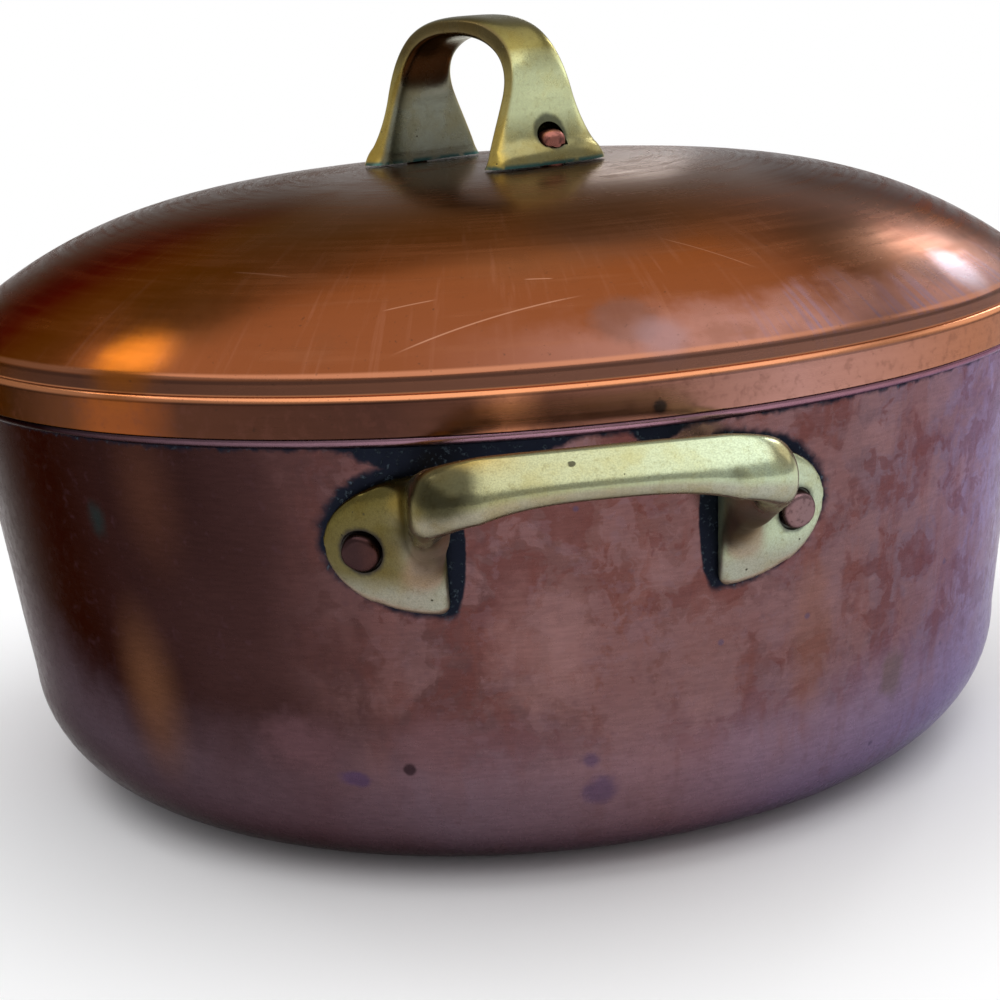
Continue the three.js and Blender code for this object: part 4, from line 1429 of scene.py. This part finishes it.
# The strap's gradings are painted light and shade, darkening towards the crown.
strap_face_light_and_shade = (  # height above the lid in millimetres, colour of the strap's face
    (2, (0.230, 0.200, 0.088)),
    (6, (0.280, 0.262, 0.128)),
    (12, (0.820, 0.880, 0.510)),
    (20, (0.820, 0.880, 0.510)),
    (26, (0.230, 0.195, 0.062)),
    (33, (0.045, 0.032, 0.008)),
)
strap_side_light_and_shade = (
    (2, (0.480, 0.350, 0.080)),
    (14, (0.400, 0.300, 0.075)),
    (20, (0.260, 0.185, 0.040)),
    (26, (0.095, 0.068, 0.028)),
    (33, (0.110, 0.080, 0.034)),
)
strap_inside_light_and_shade = (
    (3, (0.210, 0.215, 0.165)),
    (13, (0.250, 0.255, 0.195)),
    (19, (0.140, 0.130, 0.095)),
    (28, (0.070, 0.058, 0.042)),
)
# Darkest at the left: painted shade, as on the wall.
across_rivets_painted_shade = ((-42, (0.040, 0.020, 0.020)), (0, (0.320, 0.100, 0.062)), (42, (0.210, 0.128, 0.132)))
# Seats round the side handles' rivets: partly grime, partly painted shade of the recess.
seat_grime_and_shade = (0.020, 0.018, 0.026)
named_pits = (  # the pits that can be told apart on the bar: place and radius in millimetres
    ((-6.4, -151.0, 93.8), 0.7),
    ((2.6, -151.2, 93.3), 0.3),
    ((-24.5, -150.0, 93.0), 0.35),
)


# %% Cast skin and side handles


def cast_skin(f, colour, pits, graininess):
    """Colour, roughness and height of cast brass over a first colour: mottling, scattered and named pits."""
    patchy = f.noise(9, 4.0, 0.6)
    fine = f.noise(1.1, 4.0, 0.65)
    grain = f.noise(0.32, 2.0, 0.75)
    colour = f.mixed(f.fade(patchy, 0.42, 0.70, 0.0, 0.6), colour, f.vector("MULTIPLY", colour, yellowed))
    colour = f.mixed(f.fade(fine, 0.52, 0.70, 0.0, 0.6), colour, f.vector("MULTIPLY", colour, dulled))
    colour = f.shaded(colour, f.fade(grain, 0.36, 0.66, 1.0 + 0.10 * graininess, 1.0 - 0.26 * graininess))
    distance, pick = f.cells(2.2)
    chosen = f.fade(f.vector("DOT_PRODUCT", pick, (1.0, 0.0, 0.0)), 0.80, 0.86)
    pitted = f.times(f.fade(distance, 0.13, 0.06), chosen)
    for place, radius in pits:
        pitted = f.either(pitted, f.near(place, radius, radius * 0.25, fine, radius))
    colour = f.mixed(f.times(pitted, 0.85), colour, pit_colour)
    rough = f.maths("ADD", f.fade(patchy, 0.3, 0.7, 0.20, 0.30), f.maths("MULTIPLY", pitted, 0.3))
    height = f.maths("SUBTRACT", f.maths("MULTIPLY", fine, 0.5), f.maths("MULTIPLY", pitted, 2.5))
    return colour, rough, height


def handle_brass_finish():
    """Graded across the handle with painted shade at the left and a painted gold highlight on the left
    corner.

    Faces below are greyer, partly as cast and partly a painted reflection of the floor and the copper. The
    inner side of the right leg has painted shade, and the seats round the rivets are darker.
    """
    f = Finish("handle_brass")
    colour = f.graded(f.x, across_handle_painted_light)
    up = f.facing((0.0, 0.0, 1.0))
    # Painted highlight: gold on the upward faces of the left corner.
    gold_corner_highlight = f.times(f.fade(up, 0.60, 0.90), f.fade(f.x, -12, -24))
    colour = f.mixed(f.times(gold_corner_highlight, 0.75), colour, (0.400, 0.270, 0.065))
    # Faces that look down take paler greys: partly duller cast brass, partly a painted reflection of the
    # floor.
    off_flange = f.fade(f.radius, 124.5, 128, 0.15, 0.85)
    below = f.times(f.fade(up, 0.05, -0.35), off_flange)
    colour = f.mixed(below, colour, f.graded(f.x, across_lower_faces_and_floor_reflection))
    # Painted reflection of the pale floor on the flanges' lower part.
    low = f.times(f.fade(f.z, 70, 64), f.fade(f.y, -132, -127))
    colour = f.mixed(f.times(low, 0.85), colour, (0.340, 0.335, 0.275))
    colour = f.spotted(colour, brass_stains_and_painted_light, f.noise(5, 3.0), of_radius=1.0)
    # Pinkish brown under the legs: a painted reflection of the copper wall.
    under_leg = f.times(f.fade(f.radius, 146, 138), f.fade(f.z, 84, 76))
    colour = f.mixed(f.times(f.fade(up, -0.25, -0.50), under_leg, 0.7), colour, (0.380, 0.270, 0.205))
    # Painted shade on the inner side of the right leg.
    right_leg_shade = f.times(under_leg, f.fade(f.x, 20, 24), f.fade(up, 0.10, -0.15), f.fade(f.z, 66, 70))
    inner_half = f.fade(f.maths("SUBTRACT", f.x, f.maths("MULTIPLY", f.z, 0.55)), -6, -12)
    colour = f.mixed(f.times(right_leg_shade, inner_half, 0.85), colour, (0.070, 0.047, 0.033))
    colour, rough, height = cast_skin(f, colour, named_pits, 0.6)
    rough = f.maths("ADD", rough, f.maths("MULTIPLY", under_leg, 0.2))
    # The seats round the rivets are darkened: partly grime, partly painted shade of the recess.
    for side in (-1, 1):
        place, outward = wall_place(side)
        seat = tuple(place[k] + outward[k] * (spot_face_level + 0.6) for k in range(3))
        share = f.near(seat, spot_face_radius - 0.2, 1.3, f.noise(2, 3.0), 1.2)
        colour = f.mixed(f.times(share, 0.85), colour, seat_grime_and_shade)
    return f.finished(colour, rough, height, 0.04, brass_edge_tint)


# %% [markdown]
# The strap is graded by height, and each of its faces has a grading of its own: bright on the outer face,
# gold on the narrow sides and grey inside the loop. These gradings are painted light and shade: they darken
# towards the crown and differ from face to face by the way each face turns to the light. The sides are told
# apart by the way they face, and the inside by the same superellipse that shaped the strap, here simplified
# to an ellipse.

# %% Strap


def strap_brass_finish():
    """The strap in its own coordinates: run along it and across it, turned back by the handle's angle."""
    f = Finish("strap_brass")
    along_it = (math.cos(handle_turn), math.sin(handle_turn), 0.0)
    across_it = (-math.sin(handle_turn), math.cos(handle_turn), 0.0)
    run = f.vector("DOT_PRODUCT", f.place, along_it)
    height_up = f.maths("SUBTRACT", f.z, lid_top)
    middle_span = (inner_span + outer_span) / 2
    middle_rise = (inner_rise + outer_rise) / 2
    above_spring = f.maths("MAXIMUM", f.maths("SUBTRACT", height_up, loop_spring), 0.0)
    over = f.maths("DIVIDE", above_spring, middle_rise)
    out = f.maths("DIVIDE", f.maths("ABSOLUTE", run), middle_span)
    size = f.maths("SQRT", f.maths("ADD", f.square(over), f.square(out)))
    # Painted light and shade: graded by height and by the way each face turns.
    colour = f.graded(height_up, strap_face_light_and_shade)
    inside = f.fade(size, 1.01, 0.97)
    colour = f.mixed(inside, colour, f.graded(height_up, strap_inside_light_and_shade))
    sideways = f.maths("ABSOLUTE", f.facing(across_it))
    side_share = f.fade(sideways, 0.35, 0.80, 0.0, 0.9)
    colour = f.mixed(side_share, colour, f.graded(height_up, strap_side_light_and_shade))
    colour, rough, height = cast_skin(f, colour, (), 0.35)
    # The pockets round the lid's rivets are darkened: partly tarnish, partly painted shade of the recess.
    for reach in (-lid_rivet_reach, lid_rivet_reach):
        seat = (reach * along_it[0], reach * along_it[1], lid_top + 7.0)
        share = f.near(seat, 3.9, 1.2, f.noise(2, 3.0), 1.0)
        colour = f.mixed(f.times(share, 0.8), colour, (0.055, 0.060, 0.045))
    green = f.times(f.fade(height_up, 1.5, 0.6), f.fade(f.noise(4, 3.0), 0.36, 0.52))
    colour = f.mixed(f.times(green, 0.9), colour, (0.020, 0.085, 0.085))
    return f.finished(colour, rough, height, 0.04, brass_edge_tint)


# %% [markdown]
# A rivet's head is darker round its rim than in its middle, and the left rivet is darkest, which is painted
# shade. Tin is wiped on while it is molten, which leaves faint rings. Where food has stood it turns
# brownish. Both need only a noise or two, because they are small or seldom seen.

# %% Rivets and tin


def rivet_finish():
    """Copper heads, darkest at the left rivet as painted shade, and darker round each head's rim."""
    f = Finish("rivet_copper")
    fine = f.noise(1.4, 4.0, 0.6)
    colour = f.graded(f.x, across_rivets_painted_shade)
    colour = f.mixed(f.fade(fine, 0.50, 0.66, 0.0, 0.6), colour, (0.045, 0.022, 0.024))
    outward = f.vector("NORMALIZE", f.combined(f.x, f.y, 0.0))
    rim = f.times(f.fade(f.facing(outward), 0.80, 0.45), f.fade(f.radius, 60, 70))
    colour = f.mixed(f.times(rim, 0.8), colour, (0.030, 0.016, 0.018))
    return f.finished(colour, f.fade(fine, 0.3, 0.7, 0.25, 0.42), fine, 0.06, (0.7, 0.6, 0.6))


def tin_finish():
    """Dull grey tin with brown patches and faint wiping rings."""
    f = Finish("tin_lining")
    patchy = f.noise(28, 4.0, 0.6)
    rings = f.noise(1.0, 3.0, 0.6, polar(f, 3.0, 0.8))
    colour = f.mixed(f.fade(patchy, 0.40, 0.66), (0.52, 0.51, 0.49), (0.33, 0.29, 0.25))
    colour = f.mixed(f.fade(rings, 0.5, 0.75, 0.0, 0.4), colour, (0.62, 0.61, 0.59))
    return f.finished(colour, f.fade(rings, 0.3, 0.7, 0.34, 0.48), rings, 0.02, (0.8, 0.8, 0.8))


# %% [markdown]
# Each skin takes the place of its solid and rides on the same body. The two shells get a second material:
# their inner faces, those that look towards the axis or at the food, are tinned.

# %% Dress the pieces


def dressed(piece, node, body, slot, *materials):
    """Gives a skin its materials and ties it to its body and to the solid it replaces. The slot is not used.
    """
    for material in materials:
        piece.data.materials.append(material)
    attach(piece, body)
    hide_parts(node)


def tin_inside(piece, is_inside):
    """Gives the second material to the faces whose centre satisfies is_inside(radius, height)."""
    count = len(piece.data.polygons)
    centre = np.empty(count * 3)
    piece.data.polygons.foreach_get("center", centre)
    centre = centre.reshape(-1, 3) / MM
    inside = is_inside(np.hypot(centre[:, 0], centre[:, 1]), centre[:, 2])
    piece.data.polygons.foreach_set("material_index", inside.astype(np.int32))
    print(f"{piece.name}: {int(inside.sum())} of {count} faces tinned")


def inside_pot(radius, height):
    """True inside the middle of the sheet: the wall's slope, the corner's quarter circle and the neck."""
    wall = wall_radius - (lip_height - np.clip(height, corner_radius, lip_height)) * wall_slope
    drop = np.clip(corner_radius - height, 0, corner_radius)
    corner = corner_radius - np.sqrt(corner_radius**2 - drop**2)
    neck = np.where(height > lip_height, neck_radius - pot_sheet, wall - corner)
    return (radius < neck - pot_sheet / 2 + (height > lip_height) * pot_sheet) & (height > pot_sheet / 2)


def inside_lid(radius, height):
    """True under the middle of the sheet: under the dome's power law, or within the riser and the skirt."""
    share = np.clip(radius / dome_radius, 0, 1)
    middle = dome_foot - lid_sheet / 2 + dome_rise * (1 - share**dome_power)
    heights = [skirt_bottom, skirt_top, step_height, dome_foot]
    outside = np.interp(height, heights, [skirt_radius, skirt_radius, step_radius, dome_radius])
    return np.where(height > dome_foot, height < middle, radius < outside - lid_sheet / 2)


tin = tin_finish()
dressed(pot, "pot_body", "pot", "copper_pot", pot_finish(), tin)
tin_inside(pot, inside_pot)
dressed(lid, "lid_shell", "lid", "copper_lid", lid_finish(), tin)
tin_inside(lid, inside_lid)
handle_brass = handle_brass_finish()
strap_brass = strap_brass_finish()
for piece, node, body in brass_pieces:
    dressed(piece, node, body, "brass_cast", strap_brass if body == "lid" else handle_brass)
rivet_copper = rivet_finish()
for piece, node, body in rivet_pieces:
    dressed(piece, node, body, "copper_rivet", rivet_copper)

# %% [markdown]
# ## Stage, light and camera
# Polished metal shows its surroundings, so the stage matters as much as the finish. A pale sheet lies under
# the pot and curves up behind it. It catches the pot's shadow, and past the shadow the camera sees it as
# plain white, while light and reflections still meet the paper. That gives a white background without more
# light.

# %% Sheet under and behind the pot
white_from, white_at = 0.135, 0.26  # distances from the pot's axis in metres


def whiten_far_sheet(tree, shader):
    """Past the pot's shadow the camera sees plain white. Light and reflections still meet the paper."""
    nodes, links = tree.nodes, tree.links
    place = nodes.new("ShaderNodeTexCoord").outputs["Object"]
    length = nodes.new("ShaderNodeVectorMath")
    length.operation = "LENGTH"
    links.new(place, length.inputs[0])
    share = nodes.new("ShaderNodeMapRange")
    share.interpolation_type = "SMOOTHSTEP"
    links.new(length.outputs["Value"], share.inputs["Value"])
    share.inputs["From Min"].default_value = white_from
    share.inputs["From Max"].default_value = white_at
    seen = nodes.new("ShaderNodeMath")
    seen.operation = "MULTIPLY"
    links.new(share.outputs[0], seen.inputs[0])
    links.new(nodes.new("ShaderNodeLightPath").outputs["Is Camera Ray"], seen.inputs[1])
    white = nodes.new("ShaderNodeEmission")
    mix = nodes.new("ShaderNodeMixShader")
    links.new(seen.outputs[0], mix.inputs[0])
    links.new(shader.outputs["BSDF"], mix.inputs[1])
    links.new(white.outputs[0], mix.inputs[2])
    links.new(mix.outputs[0], nodes["Material Output"].inputs["Surface"])


def studio_sheet():
    """A profile in Y and Z, flat and then a quarter circle, carried along X."""
    half_width, front, back, cove = 4.0, -4.0, 1.5, 0.22
    under_pot = 0.0002  # so that the pot's flat base and the sheet never coincide
    bow = arc((back, cove), (cove, cove), -90, 0, 16)
    profile = np.vstack([[(front, 0.0)], bow])
    x = np.array([-half_width, half_width])
    grid = np.stack(np.broadcast_arrays(x[None, :], profile[:, :1], profile[:, 1:]), -1)
    grid[..., 2] -= under_pot
    index = np.arange(grid[..., 0].size).reshape(len(profile), 2)
    quads = np.stack([index[:-1, 0], index[:-1, 1], index[1:, 1], index[1:, 0]], -1)
    mesh = bpy.data.meshes.new("studio_sheet")
    mesh.from_pydata(grid.reshape(-1, 3), [], quads.tolist())
    mesh.shade_smooth()
    sheet = bpy.data.objects.new("studio_sheet", mesh)
    bpy.context.scene.collection.objects.link(sheet)
    paper = bpy.data.materials.new("pale_paper")
    paper.use_nodes = True
    shader = paper.node_tree.nodes["Principled BSDF"]
    shader.inputs["Base Color"].default_value = (0.94, 0.94, 0.94, 1)
    shader.inputs["Roughness"].default_value = 0.9
    shader.inputs["Specular IOR Level"].default_value = 0.1
    whiten_far_sheet(paper.node_tree, shader)
    mesh.materials.append(paper)
    print(f"studio sheet: {len(quads)} faces, {2 * half_width:.0f} m wide")
    return sheet


studio_sheet()

# %% [markdown]
# The world lights the pot with an even grey, and only the camera sees it white. One large soft lamp hangs
# overhead and gives the broad light of the dome, and another at the right brightens that side of the wall.
# Three small ones stand behind the pot, at the left, at the right and almost straight behind it, where the
# dome's shoulder mirrors them as short highlights. Area lamps are used, because metal shows a lamp's outline.

# %% Lamps
target = Vector((0, 0, 0.09))


def soft_lamp(name, azimuth, elevation, distance, width, height, power, colour=(1, 1, 1)):
    """A rectangular lamp aimed at the pot from a direction. Azimuth 0 is the front, 90 is the right."""
    a, e = math.radians(azimuth), math.radians(elevation)
    away = Vector((math.sin(a) * math.cos(e), -math.cos(a) * math.cos(e), math.sin(e)))
    data = bpy.data.lights.new(name, "AREA")
    data.shape = "RECTANGLE"
    data.size, data.size_y = width, height
    data.energy = power
    data.color = colour
    lamp = bpy.data.objects.new(name, data)
    lamp.location = target + away * distance
    lamp.rotation_euler = away.to_track_quat("Z", "Y").to_euler()
    bpy.context.scene.collection.objects.link(lamp)
    print(f"{name}: {power} W, {azimuth} degrees round and {elevation} up")


# azimuth and elevation in degrees, distance, width and height in metres, power in watts
soft_lamp("overhead", 20, 84, 1.8, 3.2, 3.0, 39)
soft_lamp("right_side", 118, 24, 1.6, 1.1, 0.8, 2.6)
soft_lamp("back_left", -128, 46, 1.4, 0.17, 0.26, 0.72)
soft_lamp("back_right", 137, 26, 1.4, 0.16, 0.30, 1.45, (0.93, 0.95, 1.0))
soft_lamp("back_window", 167, 13, 1.5, 0.12, 0.14, 0.18)

# %% World
world = bpy.data.worlds.new("even_grey")
world.use_nodes = True
world_nodes, world_links = world.node_tree.nodes, world.node_tree.links
world_light = world_nodes["Background"]
world_light.inputs["Color"].default_value = (0.55, 0.55, 0.56, 1)
world_light.inputs["Strength"].default_value = 1.0
world_seen = world_nodes.new("ShaderNodeBackground")
world_seen.inputs["Color"].default_value = (1, 1, 1, 1)
world_mix = world_nodes.new("ShaderNodeMixShader")
world_links.new(world_nodes.new("ShaderNodeLightPath").outputs["Is Camera Ray"], world_mix.inputs[0])
world_links.new(world_light.outputs[0], world_mix.inputs[1])
world_links.new(world_seen.outputs[0], world_mix.inputs[2])
world_links.new(world_mix.outputs[0], world_nodes["World Output"].inputs["Surface"])
bpy.context.scene.world = world
bpy.context.scene.view_settings.view_transform = "Standard"

# %% [markdown]
# The camera stands where the photograph was taken from: less than half a metre from the pot, a little to its
# left and above its rim, looking down and slightly tilted. Its place, its angles and its lens are those of a
# pinhole camera that was fitted to the outlines of the pot, the lid and the handles.

# %% Camera
camera_place = Vector((-0.0554, -0.4713, 0.1689))
pan, pitch, roll = math.radians(-6.55), math.radians(-13.89), math.radians(3.98)
camera_data = bpy.data.cameras.new("camera")
camera_data.sensor_width = 36  # millimetres, as the lens
camera_data.lens = 72
camera = bpy.data.objects.new("camera", camera_data)
looking = Matrix.Rotation(pan, 4, "Z") @ Matrix.Rotation(pitch, 4, "X") @ Matrix.Rotation(roll, 4, "Y")
camera.matrix_world = Matrix.Translation(camera_place) @ looking @ Matrix.Rotation(math.pi / 2, 4, "X")
bpy.context.scene.collection.objects.link(camera)
bpy.context.scene.camera = camera
print(f"camera {math.hypot(camera_place.x, camera_place.y):.3f} m from the axis, {camera_place.z:.3f} m up")
